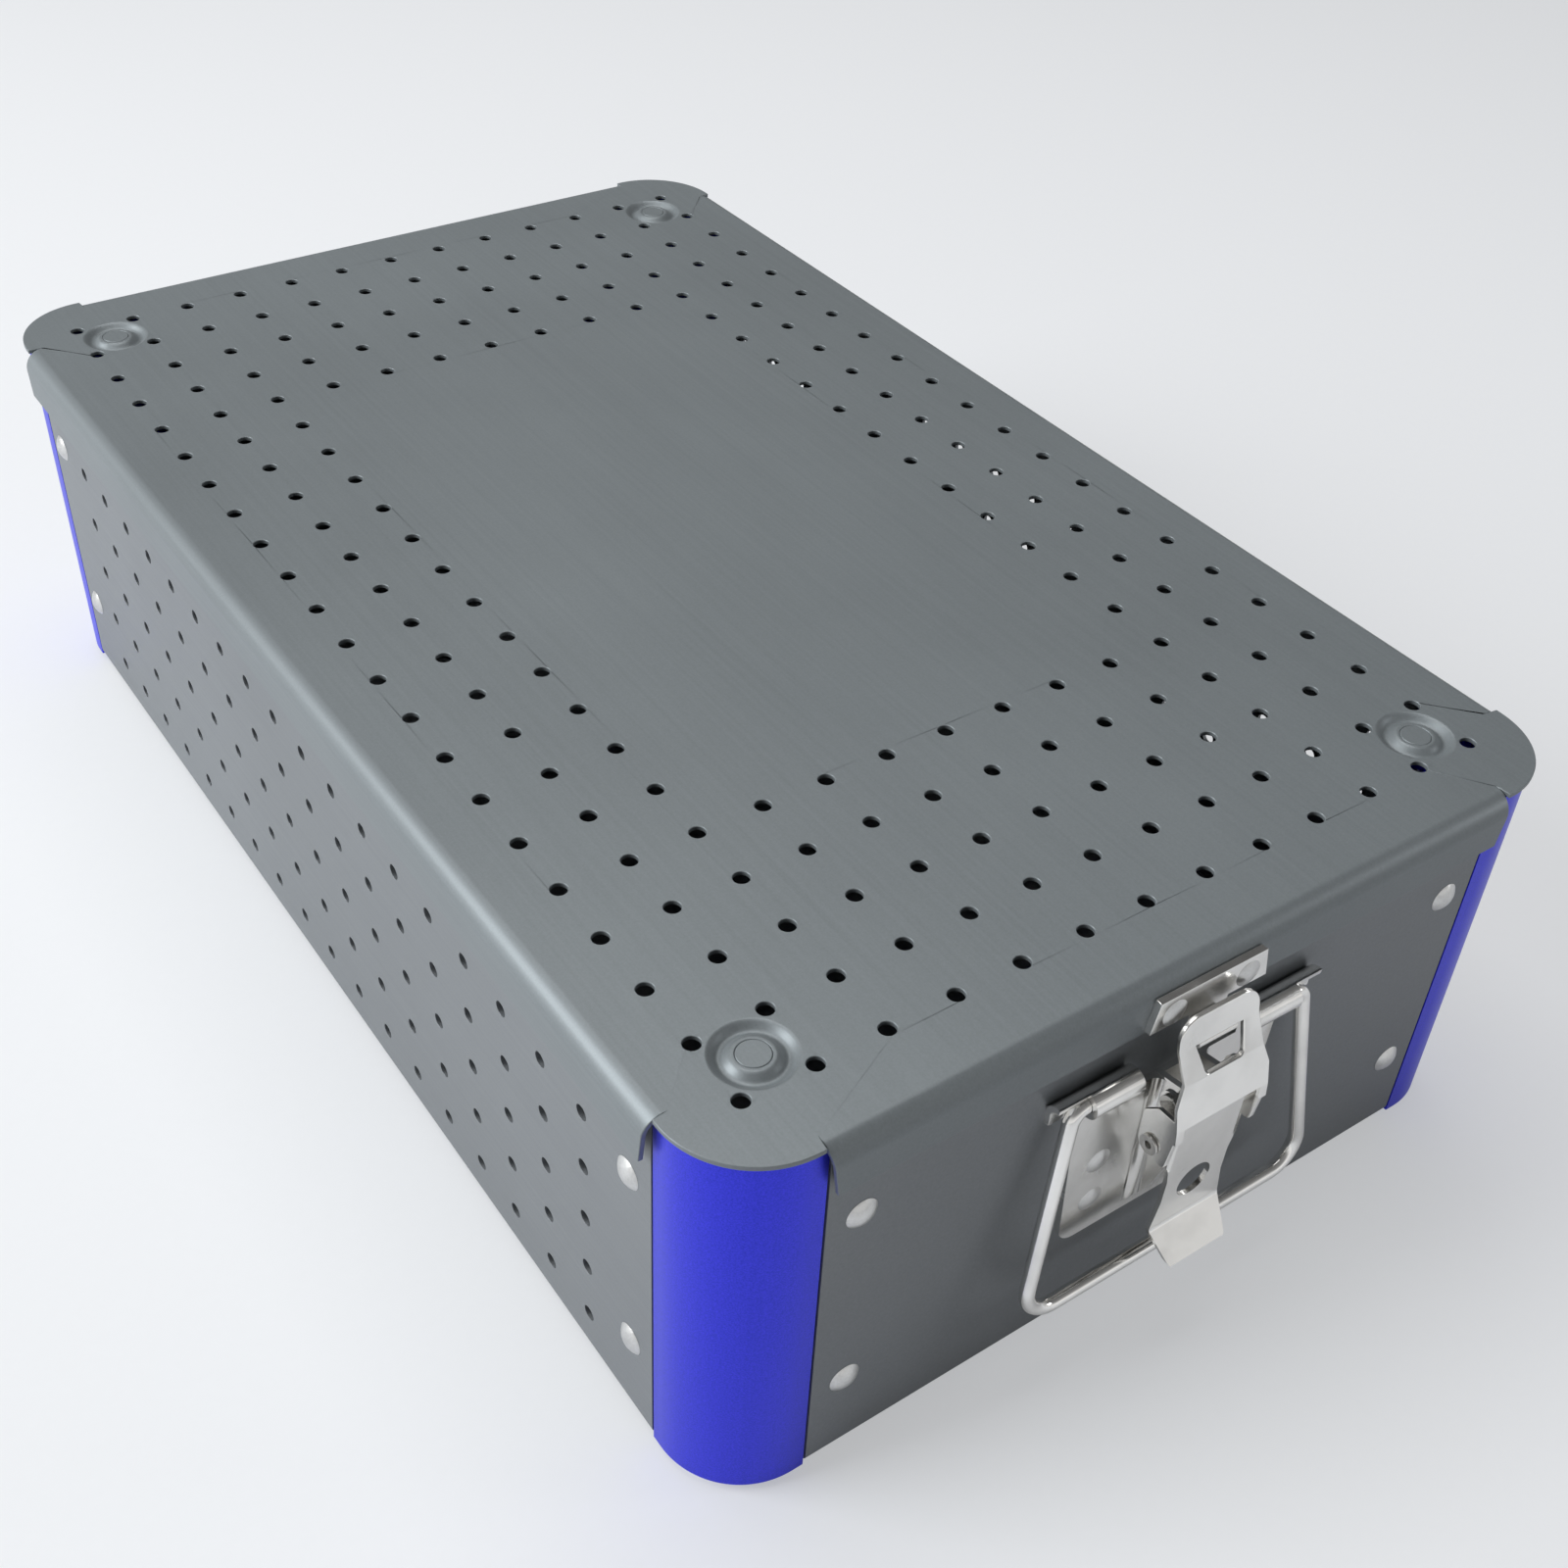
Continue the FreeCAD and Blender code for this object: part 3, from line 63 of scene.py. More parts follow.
# What the lid and the pan share
STEAM_HOLE_RADIUS = 1.6 * MM
STEAM_HOLE_PITCH = 14.0 * MM
SHEET_THICKNESS = 1.0 * MM

# Width of the rounded edges of the fittings
RIVET_EDGE = 0.08 * MM
STAMPED_EDGE = 0.15 * MM
LATCH_EDGE = 0.18 * MM
FOOT_EDGE = 0.2 * MM

EDGE_SEGMENTS = 2

# Tolerances of the meshes, in metres
WELD_DISTANCE = 1e-6
FINE_WELD_DISTANCE = 1e-7
FILL_TOLERANCE = 1e-8

# Angles between faces that are merged, shaded as sharp or rounded, in degrees
FLAT_ANGLE = 0.4
SHARP_ANGLE = 34.0
FOLD_ANGLE = 50.0
WIRE_ANGLE = 60.0

# Least cosine between a normal and a flat's, for the flat itself and for what bends away from it
TRUE_FLAT = 0.9999
NEAR_FLAT = 0.64

# How strongly the finer octaves of a noise show
NOISE_ROUGHNESS = 0.55

Colour = tuple[float, float, float]
Triple = tuple[float, float, float]
Flat = tuple[float, float]


class End(Enum):
    """The two ends of the case; the value is the sign of Y."""

    FRONT = -1
    BACK = 1


class Side(Enum):
    """The two long sides of the case; the value is the sign of X."""

    LEFT = -1
    RIGHT = 1


# Shader maths


class Wire:
    """A value in a node tree that takes part in Python expressions."""

    def __init__(self, tree: bpy.types.NodeTree, socket: bpy.types.NodeSocket) -> None:
        """Wrap an output socket.

        Args:
            tree: the node tree that the socket belongs to.
            socket: the output socket.
        """
        self.tree = tree
        self.socket = socket

    def maths(self, operation: str, first: "Wire | float", second: "Wire | float") -> "Wire":
        """Add a Math node.

        Args:
            operation: the node's operation.
            first: its first value.
            second: its second value.

        Returns:
            The node's result.
        """
        node = self.tree.nodes.new("ShaderNodeMath")
        node.operation = operation
        for socket, item in zip(node.inputs, (first, second)):
            if isinstance(item, Wire):
                self.tree.links.new(item.socket, socket)
            else:
                socket.default_value = item
        return Wire(self.tree, node.outputs[0])

    def __add__(self, other: "Wire | float") -> "Wire":
        """Sum."""
        return self.maths("ADD", self, other)

    __radd__ = __add__

    def __sub__(self, other: "Wire | float") -> "Wire":
        """Difference."""
        return self.maths("SUBTRACT", self, other)

    def __rsub__(self, other: "Wire | float") -> "Wire":
        """Reflected difference."""
        return self.maths("SUBTRACT", other, self)

    def __mul__(self, other: "Wire | float") -> "Wire":
        """Product."""
        return self.maths("MULTIPLY", self, other)

    __rmul__ = __mul__

    def peak(self, other: "Wire | float") -> "Wire":
        """Larger of two values."""
        return self.maths("MAXIMUM", self, other)


class Recipe:
    """A material or world under construction."""

    def __init__(self, tree: bpy.types.NodeTree) -> None:
        """Start from an empty node tree.

        Args:
            tree: the node tree to fill.
        """
        self.tree = tree
        self.tree.nodes.clear()

    def add(self, kind: str, settings: dict | None = None, inputs: dict | None = None) -> bpy.types.Node:
        """Add one node, with its settings first and its sockets after them.

        Args:
            kind: the node's type.
            settings: values of its properties; "stops" lists a ramp's places and grey levels.
            inputs: values or wires by socket name or number.

        Returns:
            The node.
        """
        node = self.tree.nodes.new(kind)
        for name, item in (settings or {}).items():
            if name == "stops":
                self._set_stops(node.color_ramp, item)
            else:
                setattr(node, name, item)
        for name, item in (inputs or {}).items():
            if isinstance(item, Wire):
                self.tree.links.new(item.socket, node.inputs[name])
            else:
                node.inputs[name].default_value = item
        return node

    def _set_stops(self, ramp: bpy.types.ColorRamp, stops: Sequence[Flat]) -> None:
        """Give a ramp its grey stops.

        Args:
            ramp: the ramp.
            stops: places along it and their levels, in rising order.
        """
        while len(ramp.elements) > 1:
            ramp.elements.remove(ramp.elements[-1])
        for index, (place, level) in enumerate(stops):
            element = ramp.elements[0] if index == 0 else ramp.elements.new(place)
            element.position = place
            element.color = (level, level, level, 1.0)

    def wire(self, node: bpy.types.Node, output: str | int = 0) -> Wire:
        """Output of a node, ready for expressions."""
        return Wire(self.tree, node.outputs[output])

    def place(self, scale: Triple) -> Wire:
        """Place of the shaded point in its own piece, stretched.

        Args:
            scale: repeats per metre along X, Y and Z.

        Returns:
            The stretched coordinates.
        """
        source = self.wire(self.add("ShaderNodeTexCoord"), "Object")
        return self.wire(self.add("ShaderNodeMapping", inputs={"Vector": source, "Scale": scale}))

    def noise(self, scale: float | Triple, detail: float = 2.0) -> Wire:
        """Even noise from 0 to 1.

        Args:
            scale: repeats per metre, the same every way or along X, Y and Z.
            detail: octaves of finer noise.

        Returns:
            The noise.
        """
        spread = scale if isinstance(scale, tuple) else (scale, scale, scale)
        node = self.add("ShaderNodeTexNoise", inputs={"Vector": self.place(spread), "Scale": 1.0,
                                                      "Detail": detail,
                                                      "Roughness": NOISE_ROUGHNESS})
        return self.wire(node, "Fac")

    def ramp(self, value: Wire, stops: Sequence[Flat]) -> Wire:
        """Remap a value through grey stops."""
        return self.wire(self.add("ShaderNodeValToRGB", {"stops": stops}, {"Fac": value}), "Color")

    def mix(self, share: Wire, low: "Wire | Colour", high: "Wire | Colour") -> Wire:
        """Blend two colours.

        Args:
            share: how much of the second colour.
            low: first colour.
            high: second colour.

        Returns:
            The blended colour.
        """
        colours = [item if isinstance(item, Wire) else (*item, 1.0) for item in (low, high)]
        node = self.add("ShaderNodeMix", {"data_type": "RGBA"}, {0: share, 6: colours[0], 7: colours[1]})
        return self.wire(node, 2)

    def bump(self, height: Wire, depth: float) -> Wire:
        """Normal that follows a height from 0 to 1 over a depth in metres."""
        return self.wire(self.add("ShaderNodeBump", inputs={"Height": height, "Strength": 1.0,
                                                           "Distance": depth}), "Normal")


def new_material(name: str) -> tuple[bpy.types.Material, Recipe]:
    """Make an empty node material.

    Args:
        name: its name.

    Returns:
        The material and the recipe that fills it.
    """
    material = bpy.data.materials.new(name)
    material.use_nodes = True
    return material, Recipe(material.node_tree)


def scaled(colour: Colour, factor: float) -> Colour:
    """Lighter or darker colour."""
    return tuple(factor * part for part in colour)


def finish_material(recipe: Recipe, inputs: dict) -> None:
    """Close a recipe with a metal-capable surface shader."""
    shader = recipe.add("ShaderNodeBsdfPrincipled", inputs=inputs)
    recipe.add("ShaderNodeOutputMaterial", inputs={"Surface": recipe.wire(shader, "BSDF")})


# Finishes


@dataclass(frozen=True)
class AnodisedSheet:
    """Matt anodised sheet: a fine even grain, faint rolling streaks and soft smudges."""

    name: str
    colour: Colour = (0.203, 0.225, 0.235)
    roughness: float = 0.43
    metallic: float = 0.35
    grain: float = 2600.0
    streaks: Triple = (1500.0, 14.0, 1500.0)
    clouds: float = 9.0
    smudges: Triple = (38.0, 24.0, 38.0)
    dark: float = 0.88
    light: float = 1.12
    grain_depth: float = 0.006 * MM

    def build(self) -> bpy.types.Material:
        """Build the finish.

        Returns:
            The material.
        """
        material, recipe = new_material(self.name)
        grain = recipe.noise(self.grain, 3.0)
        streak = recipe.noise(self.streaks, 2.0)
        cloud = recipe.noise(self.clouds, 3.0)
        smudge = recipe.noise(self.smudges, 4.0)
        shade = recipe.ramp(0.34 * grain + 0.22 * streak + 0.44 * cloud, [(0.34, 0.0), (0.66, 1.0)])
        finish_material(recipe, {
            "Base Color": recipe.mix(shade, scaled(self.colour, self.dark), scaled(self.colour, self.light)),
            "Metallic": self.metallic,
            "Roughness": self.roughness - 0.05 + 0.1 * smudge + 0.06 * grain,
            "Normal": recipe.bump(0.7 * grain + 0.3 * streak, self.grain_depth),
        })
        return material


@dataclass(frozen=True)
class AnodisedProfile:
    """Satin dyed extrusion: a fine sparkle and barely seen upright drawing lines."""

    name: str
    colour: Colour = (0.022, 0.038, 0.76)
    dark: float = 0.8
    light: Triple = (2.2, 1.3, 1.12)
    metallic: float = 0.72
    roughness: float = 0.33
    specular: float = 0.2
    coat: float = 0.12
    coat_roughness: float = 0.22
    lines: Triple = (1100.0, 1100.0, 7.0)
    sparkles: float = 3200.0
    clouds: Triple = (14.0, 14.0, 8.0)
    sparkle_depth: float = 0.008 * MM

    def build(self) -> bpy.types.Material:
        """Build the finish.

        Returns:
            The material.
        """
        material, recipe = new_material(self.name)
        lines = recipe.noise(self.lines, 2.0)
        sparkle = recipe.noise(self.sparkles, 2.0)
        cloud = recipe.noise(self.clouds, 2.0)
        shade = recipe.ramp(0.08 * lines + 0.72 * sparkle + 0.2 * cloud, [(0.33, 0.0), (0.67, 1.0)])
        light = tuple(factor * part for factor, part in zip(self.light, self.colour))
        finish_material(recipe, {
            "Base Color": recipe.mix(shade, scaled(self.colour, self.dark), light),
            "Metallic": self.metallic,
            "Roughness": self.roughness - 0.04 + 0.08 * sparkle + 0.05 * cloud,
            "Specular IOR Level": self.specular,
            "Coat Weight": self.coat,
            "Coat Roughness": self.coat_roughness,
            "Normal": recipe.bump(0.1 * lines + 0.9 * sparkle, self.sparkle_depth),
        })
        return material


@dataclass(frozen=True)
class PolishedSteel:
    """Polished stamped steel: slight waviness, faint smudges and hairline scratches."""

    name: str
    colour: Colour = (0.90, 0.89, 0.865)
    dull: float = 0.86
    roughness: float = 0.14
    waves: float = 150.0
    smudges: Triple = (70.0, 90.0, 60.0)
    hairlines: Triple = (500.0, 500.0, 9000.0)
    wave_depth: float = 0.05 * MM

    def build(self) -> bpy.types.Material:
        """Build the finish.

        Returns:
            The material.
        """
        material, recipe = new_material(self.name)
        wave = recipe.noise(self.waves, 1.0)
        smudge = recipe.noise(self.smudges, 4.0)
        hairline = recipe.noise(self.hairlines, 1.0)
        film = recipe.ramp(smudge, [(0.42, 0.0), (0.7, 1.0)])
        finish_material(recipe, {
            "Base Color": recipe.mix(film, self.colour, scaled(self.colour, self.dull)),
            "Metallic": 1.0,
            "Roughness": self.roughness + 0.12 * film + 0.05 * hairline,
            "Normal": recipe.bump(wave, self.wave_depth),
        })
        return material


@dataclass(frozen=True)
class RivetMetal:
    """Set aluminium rivets: bright, slightly grainy and dented by the setting tool."""

    name: str
    colour: Colour = (0.70, 0.70, 0.69)
    dark: float = 0.82
    roughness: float = 0.3
    grain: float = 2400.0
    dents: float = 420.0
    dent_depth: float = 0.03 * MM

    def build(self) -> bpy.types.Material:
        """Build the finish.

        Returns:
            The material.
        """
        material, recipe = new_material(self.name)
        grain = recipe.noise(self.grain, 3.0)
        dents = recipe.noise(self.dents, 2.0)
        shade = recipe.ramp(0.5 * grain + 0.5 * dents, [(0.35, 0.0), (0.65, 1.0)])
        finish_material(recipe, {
            "Base Color": recipe.mix(shade, scaled(self.colour, self.dark), self.colour),
            "Metallic": 1.0,
            "Roughness": self.roughness - 0.06 + 0.14 * grain,
            "Normal": recipe.bump(0.3 * grain + 0.7 * dents, self.dent_depth),
        })
        return material


@dataclass(frozen=True)
class StudioFloor:
    """Pale matt paper that keeps the shadow of what stands on it and fades into the room."""

    name: str = "floor_paper"
    colour: Colour = (0.80, 0.81, 0.83)
    fibres: float = 400.0
    fibre_dark: float = 0.97
    roughness: float = 0.8
    glow: float = 0.47
    glow_colour: Colour = (0.92, 0.935, 0.955)
    mirrored: float = 0.4
    far: float = 4.0

    def build(self) -> bpy.types.Material:
        """Build the finish.

        Returns:
            The material, which glows for the camera and more so far from the case.
        """
        material, recipe = new_material(self.name)
        rays = recipe.add("ShaderNodeLightPath")
        seen = recipe.wire(rays, "Is Camera Ray").peak(recipe.wire(rays, "Is Transmission Ray"))
        seen = seen.peak(self.mirrored * recipe.wire(rays, "Is Glossy Ray"))
        reach = recipe.add("ShaderNodeVectorMath", {"operation": "LENGTH"},
                           {0: recipe.place((1.0, 1.0, 1.0))})
        away = recipe.ramp(1 / self.far * recipe.wire(reach, "Value"), [(0.2, self.glow), (0.65, 1.0)])
        paper = recipe.mix(recipe.noise(self.fibres, 3.0), scaled(self.colour, self.fibre_dark), self.colour)
        sheet = recipe.add("ShaderNodeBsdfPrincipled",
                           inputs={"Base Color": paper, "Roughness": self.roughness})
        light = recipe.add("ShaderNodeEmission",
                           inputs={"Color": (*self.glow_colour, 1.0), "Strength": 1.0})
        both = recipe.add("ShaderNodeMixShader", inputs={
            0: away * seen, 1: recipe.wire(sheet, "BSDF"), 2: recipe.wire(light, "Emission")})
        recipe.add("ShaderNodeOutputMaterial", inputs={"Surface": recipe.wire(both, 0)})
        return material


# Mesh tools


class SheetForm:
    """A folded sheet drawn by its outer skin, before it gets its thickness."""

    def __init__(self) -> None:
        """Start with no skin."""
        self.form = bmesh.new()

    def flat(self, outline: Sequence[Flat], openings: Sequence[Sequence[Flat]],
             lift: Callable[[float, float], Vector]) -> None:
        """Fill a flat outline round its openings.

        Args:
            outline: corners, counter-clockwise as seen from outside.
            openings: the closed rims of the openings.
            lift: takes a flat point to its place in space.
        """
        points: list[Flat] = []
        edges: list[tuple[int, int]] = []
        for rim in (outline, *openings):
            first = len(points)
            points.extend(rim)
            edges += [(first + index, first + (index + 1) % len(rim)) for index in range(len(rim))]
        filled = delaunay_2d_cdt([Vector(point) for point in points], edges, [], 1, FILL_TOLERANCE)
        corners, faces = filled[0], filled[2]
        middles = [mean_point([Vector(point) for point in rim]) for rim in openings]
        reaches = [(Vector(rim[0]) - middle).length for rim, middle in zip(openings, middles)]
        spots = [self.form.verts.new(lift(*corner)) for corner in corners]
        for face in faces:
            centre = mean_point([corners[index] for index in face])
            if all((centre - middle).length >= reach for middle, reach in zip(middles, reaches)):
                self.form.faces.new([spots[index] for index in face])

    def ribbon(self, rows: Sequence[Sequence[Vector]], closed: bool = False) -> None:
        """Bridge rows of points with quads.

        Args:
            rows: rows of as many points each; the skin's outside is travel x row direction.
            closed: whether the rows are rings.
        """
        lines = [[self.form.verts.new(point) for point in row] for row in rows]
        for near, far in zip(lines, lines[1:]):
            count = len(near)
            for index in range(count if closed else count - 1):
                after = (index + 1) % count
                self.form.faces.new((near[index], far[index], far[after], near[after]))

    def spin_copy(self) -> None:
        """Add the same skin again, turned half round about Z."""
        geometry = self.form.verts[:] + self.form.edges[:] + self.form.faces[:]
        copies = bmesh.ops.duplicate(self.form, geom=geometry)["geom"]
        turned = [item for item in copies if isinstance(item, bmesh.types.BMVert)]
        bmesh.ops.rotate(self.form, verts=turned, cent=(0, 0, 0), matrix=Matrix.Rotation(math.pi, 3, "Z"))

    def close(self, name: str) -> bpy.types.Object:
        """Weld the skin and make it an object.

        Args:
            name: the object's name.

        Returns:
            The object, still without thickness.
        """
        loose = [spot for spot in self.form.verts if not spot.link_faces]
        bmesh.ops.delete(self.form, geom=loose, context="VERTS")
        bmesh.ops.remove_doubles(self.form, verts=self.form.verts, dist=WELD_DISTANCE)
        return as_object(name, self.form)


def mean_point(points: Sequence[Vector]) -> Vector:
    """Mean of some flat points."""
    return sum(points, Vector((0, 0))) / len(points)


def as_object(name: str, form: bmesh.types.BMesh) -> bpy.types.Object:
    """Turn a mesh under construction into an object, and free it.

    Args:
        name: the object's name.
        form: the mesh under construction.

    Returns:
        The object, linked to the scene.
    """
    mesh = bpy.data.meshes.new(name)
    form.to_mesh(mesh)
    form.free()
    return linked(name, mesh)


def linked(name: str, data: bpy.types.ID) -> bpy.types.Object:
    """Put a mesh, curve, lamp or camera into the scene.

    Args:
        name: the object's name.
        data: what the object shows.

    Returns:
        The object.
    """
    body = bpy.data.objects.new(name, data)
    bpy.context.scene.collection.objects.link(body)
    return body


def soften(body: bpy.types.Object, width: float, corner: float = SHARP_ANGLE) -> None:
    """Round the sharp edges and let the flats keep their shading.

    Args:
        body: the object to work on.
        width: how much of each face the rounding takes, in metres.
        corner: least angle between faces that is rounded, in degrees.
    """
    bevel = body.modifiers.new("soft_edges", "BEVEL")
    bevel.width = width
    bevel.segments = EDGE_SEGMENTS
    bevel.limit_method = "ANGLE"
    bevel.angle_limit = math.radians(corner)
    bevel.use_clamp_overlap = True
    bevel.miter_outer = "MITER_ARC"
    normals = body.modifiers.new("even_flats", "WEIGHTED_NORMAL")
    normals.keep_sharp = True
    settle(body)


def settle(body: bpy.types.Object) -> None:
    """Shade an object smooth between its sharp edges, and apply its modifiers.

    Args:
        body: the object.
    """
    for polygon in body.data.polygons:
        polygon.use_smooth = True
    body.data.set_sharp_from_angle(angle=math.radians(SHARP_ANGLE))
    graph = bpy.context.evaluated_depsgraph_get()
    mesh = bpy.data.meshes.new_from_object(body.evaluated_get(graph), depsgraph=graph)
    body.modifiers.clear()
    body.data = mesh


def level_flats(body: bpy.types.Object) -> None:
    """Shade a folded sheet's level and upright flats as true flats, up to their bends and holes.

    Args:
        body: the finished sheet.
    """
    mesh = body.data
    flats: dict[int, dict[tuple, Vector]] = {}
    for polygon in mesh.polygons:
        normal = polygon.normal
        if max(abs(part) for part in normal) > TRUE_FLAT:
            key = tuple(round(part) for part in normal)
            for vertex in polygon.vertices:
                flats.setdefault(vertex, {})[key] = Vector(key)
    smooth = [corner.vector.copy() for corner in mesh.corner_normals]
    normals = []
    for polygon in mesh.polygons:
        own = polygon.normal
        for corner, vertex in zip(polygon.loop_indices, polygon.vertices):
            near = [flat for flat in flats.get(vertex, {}).values()
                    if not any(own) or flat.dot(own) > NEAR_FLAT]
            total = sum(near, Vector())
            normals.append(total.normalized() if any(total) else smooth[corner])
    mesh.normals_split_custom_set(normals)


def thicken(body: bpy.types.Object, thickness: float) -> None:
    """Give a skin its sheet thickness, inwards.

    Args:
        body: the skin.
        thickness: of the sheet, in metres.
    """
    wall = body.modifiers.new("sheet", "SOLIDIFY")
    wall.thickness = thickness
    wall.offset = -1.0
    wall.use_even_offset = True
    wall.use_quality_normals = True
    settle(body)


def ring(middle: Flat, radius: float, count: int) -> list[Flat]:
    """Points round a circle, counter-clockwise."""
    return [(middle[0] + radius * math.cos(2 * math.pi * step / count),
             middle[1] + radius * math.sin(2 * math.pi * step / count)) for step in range(count)]


def quarter(middle: Flat, radius: float, count: int) -> list[Flat]:
    """Points along a quarter circle, counter-clockwise from +X to +Y."""
    angles = [QUARTER_TURN * step / count for step in range(count + 1)]
    return [(middle[0] + radius * math.cos(angle), middle[1] + radius * math.sin(angle)) for angle in angles]


def to_side(out: float, along: float, up: float) -> Vector:
    """Point of the right side from its distance out, distance along and height."""
    return Vector((out, along, up))


def to_end(out: float, along: float, up: float) -> Vector:
    """Point of the back end from its distance out, distance along and height."""
    return Vector((-along, out, up))


def all_corners(first: Sequence[Flat]) -> list[Flat]:
    """Complete an outline that is the same in all four quarters.

    Args:
        first: its stretch in the +X +Y quarter, counter-clockwise.

    Returns:
        The whole outline, counter-clockwise.
    """
    second = [(-across, along) for across, along in reversed(first)]
    turned = [(-across, -along) for across, along in (*first, *second)]
    return [*first, *second, *turned]


@dataclass
class SubAssembly:
    """What every sub-assembly shares: it rides on a body and takes a finish."""

    body: str

    def seat(self, piece: bpy.types.Object, nodes: Iterable[str], slot: str,
             finish: bpy.types.Material) -> bpy.types.Object:
        """Put a finished piece on its body in place of CAD nodes.

        Args:
            piece: the object.
            nodes: CAD nodes that it stands for.
            slot: the record's material slot; not used.
            finish: its material.

        Returns:
            The piece.
        """
        piece.data.materials.clear()
        piece.data.materials.append(finish)
        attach(piece, self.body)
        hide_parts(*nodes)
        LOG.info("%s: %d faces on %s", piece.name, len(piece.data.polygons), self.body)
        return piece

    def softened(self, node: str, slot: str, finish: bpy.types.Material,
                 width: float) -> bpy.types.Object:
        """Make a copy of a CAD node with merged flats and rounded edges.

        Args:
            node: the CAD node.
            slot: the record's material slot.
            finish: its material.
            width: how much of each face the rounding takes, in metres.

        Returns:
            The piece that replaces the node.
        """
        form = bmesh.new()
        form.from_mesh(frame["nodes"][node].data)
        bmesh.ops.remove_doubles(form, verts=form.verts, dist=WELD_DISTANCE)
        bmesh.ops.dissolve_limit(form, angle_limit=math.radians(FLAT_ANGLE), verts=form.verts,
                                 edges=form.edges)
        piece = as_object("dressed_" + node, form)
        soften(piece, width)
        return self.seat(piece, [node], slot, finish)


# The case


@dataclass
class Lid(SubAssembly):
    """Punched lid with four folded flanges, flat corner lobes and pressed stacking recesses."""

    bend: float = 4.5 * MM
    flange_depth: float = 10.9 * MM
    wall_offset: float = 2.4 * MM
    corner_reach: float = 19.9 * MM
    lobe_overhang: float = 0.9 * MM
    lobe_radius: float = 17.9 * MM
    lobe_start: float = 1.8 * MM
    flange_slant: float = 1.5 * MM
    rows: int = 13
    columns: int = 22
    end_columns: int = 5
    side_rows: int = 3
    recess_radius: float = 7.8 * MM
    recess_boss: float = 3.5 * MM
    recess_depth: float = 1.3 * MM
    button_radius: float = 3.05 * MM
    edge: float = 0.16 * MM
    hole_points: int = 32
    recess_points: int = 56
    recess_steps: int = 12
    lobe_steps: int = 24
    bend_steps: int = 8

    def measure(self) -> None:
        """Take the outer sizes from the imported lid."""
        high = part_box("lid_panel")[1]
        self.half_width, self.half_length, self.top = high.x, high.y, high.z
        self.run_x = self.half_width - self.wall_offset - self.corner_reach
        self.run_y = self.half_length - self.wall_offset - self.corner_reach

    def holes(self) -> list[list[Flat]]:
        """Place the steam holes, which leave the middle of the lid plain.

        Returns:
            Their rims.
        """
        rims = []
        for row in range(self.rows):
            for column in range(self.columns):
                beside = min(row, self.rows - 1 - row) < self.side_rows
                near_end = min(column, self.columns - 1 - column) < self.end_columns
                if beside or near_end:
                    middle = ((row - (self.rows - 1) / 2) * STEAM_HOLE_PITCH,
                              (column - (self.columns - 1) / 2) * STEAM_HOLE_PITCH)
                    rims.append(ring(middle, STEAM_HOLE_RADIUS, self.hole_points))
        return rims

    def recess_middles(self) -> list[Flat]:
        """Place the four stacking recesses, between the outer steam holes.

        Returns:
            Their middles.
        """
        across = (self.rows - 2) * STEAM_HOLE_PITCH / 2
        along = (self.columns - 2) * STEAM_HOLE_PITCH / 2
        return [(x * across, y * along) for x in (-1, 1) for y in (-1, 1)]

    def top_outline(self) -> list[Flat]:
        """Draw the flat top, out to the bends and round the corner lobes.

        Returns:
            Its outline, counter-clockwise.
        """
        lobe_x = self.half_width - self.wall_offset + self.lobe_overhang
        lobe_y = self.half_length - self.wall_offset + self.lobe_overhang
        bend_x, bend_y = self.half_width - self.bend, self.half_length - self.bend
        arc_middle = (lobe_x - self.lobe_radius, lobe_y - self.lobe_radius)
        first = [(bend_x, self.run_y + self.flange_slant), (lobe_x, self.run_y + self.lobe_start),
                 *quarter(arc_middle, self.lobe_radius, self.lobe_steps),
                 (self.run_x + self.lobe_start, lobe_y), (self.run_x + self.flange_slant, bend_y)]
        return all_corners(first)

    def flange_rows(self, reach: float, half_run: float,
                    lift: Callable[[float, float, float], Vector]) -> list[list[Vector]]:
        """Rows of points round a bend and down a flange.

        Args:
            reach: outer face of the flange, from the middle.
            half_run: half length of the flange at its lower edge.
            lift: to_side or to_end.

        Returns:
            Rows from the top's edge to the flange's lower edge, each end cut back by the slant.
        """
        places = []
        for step in range(self.bend_steps + 1):
            angle = QUARTER_TURN * step / self.bend_steps
            places.append((reach - self.bend + self.bend * math.sin(angle),
                           self.bend - self.bend * math.cos(angle)))
        places.append((reach, self.flange_depth))
        rows = []
        for out, drop in places:
            run = half_run + self.flange_slant * (1 - drop / self.flange_depth)
            rows.append([lift(out, -run, self.top - drop), lift(out, run, self.top - drop)])
        return rows

    def recess_rows(self, middle: Flat) -> list[list[Vector]]:
        """Press one recess, a soft round groove about a level boss.

        Args:
            middle: middle of the recess.

        Returns:
            Rings of points from its rim to the hole in its boss.
        """
        places = []
        for step in range(self.recess_steps + 1):
            share = step / self.recess_steps
            places.append((self.recess_radius + (self.recess_boss - self.recess_radius) * share,
                           self.recess_depth * (1 - math.cos(2 * math.pi * share)) / 2))
        places.append((self.button_radius, 0.0))
        return [[Vector((x, y, self.top - depth))
                 for x, y in reversed(ring(middle, radius, self.recess_points))]
                for radius, depth in places]

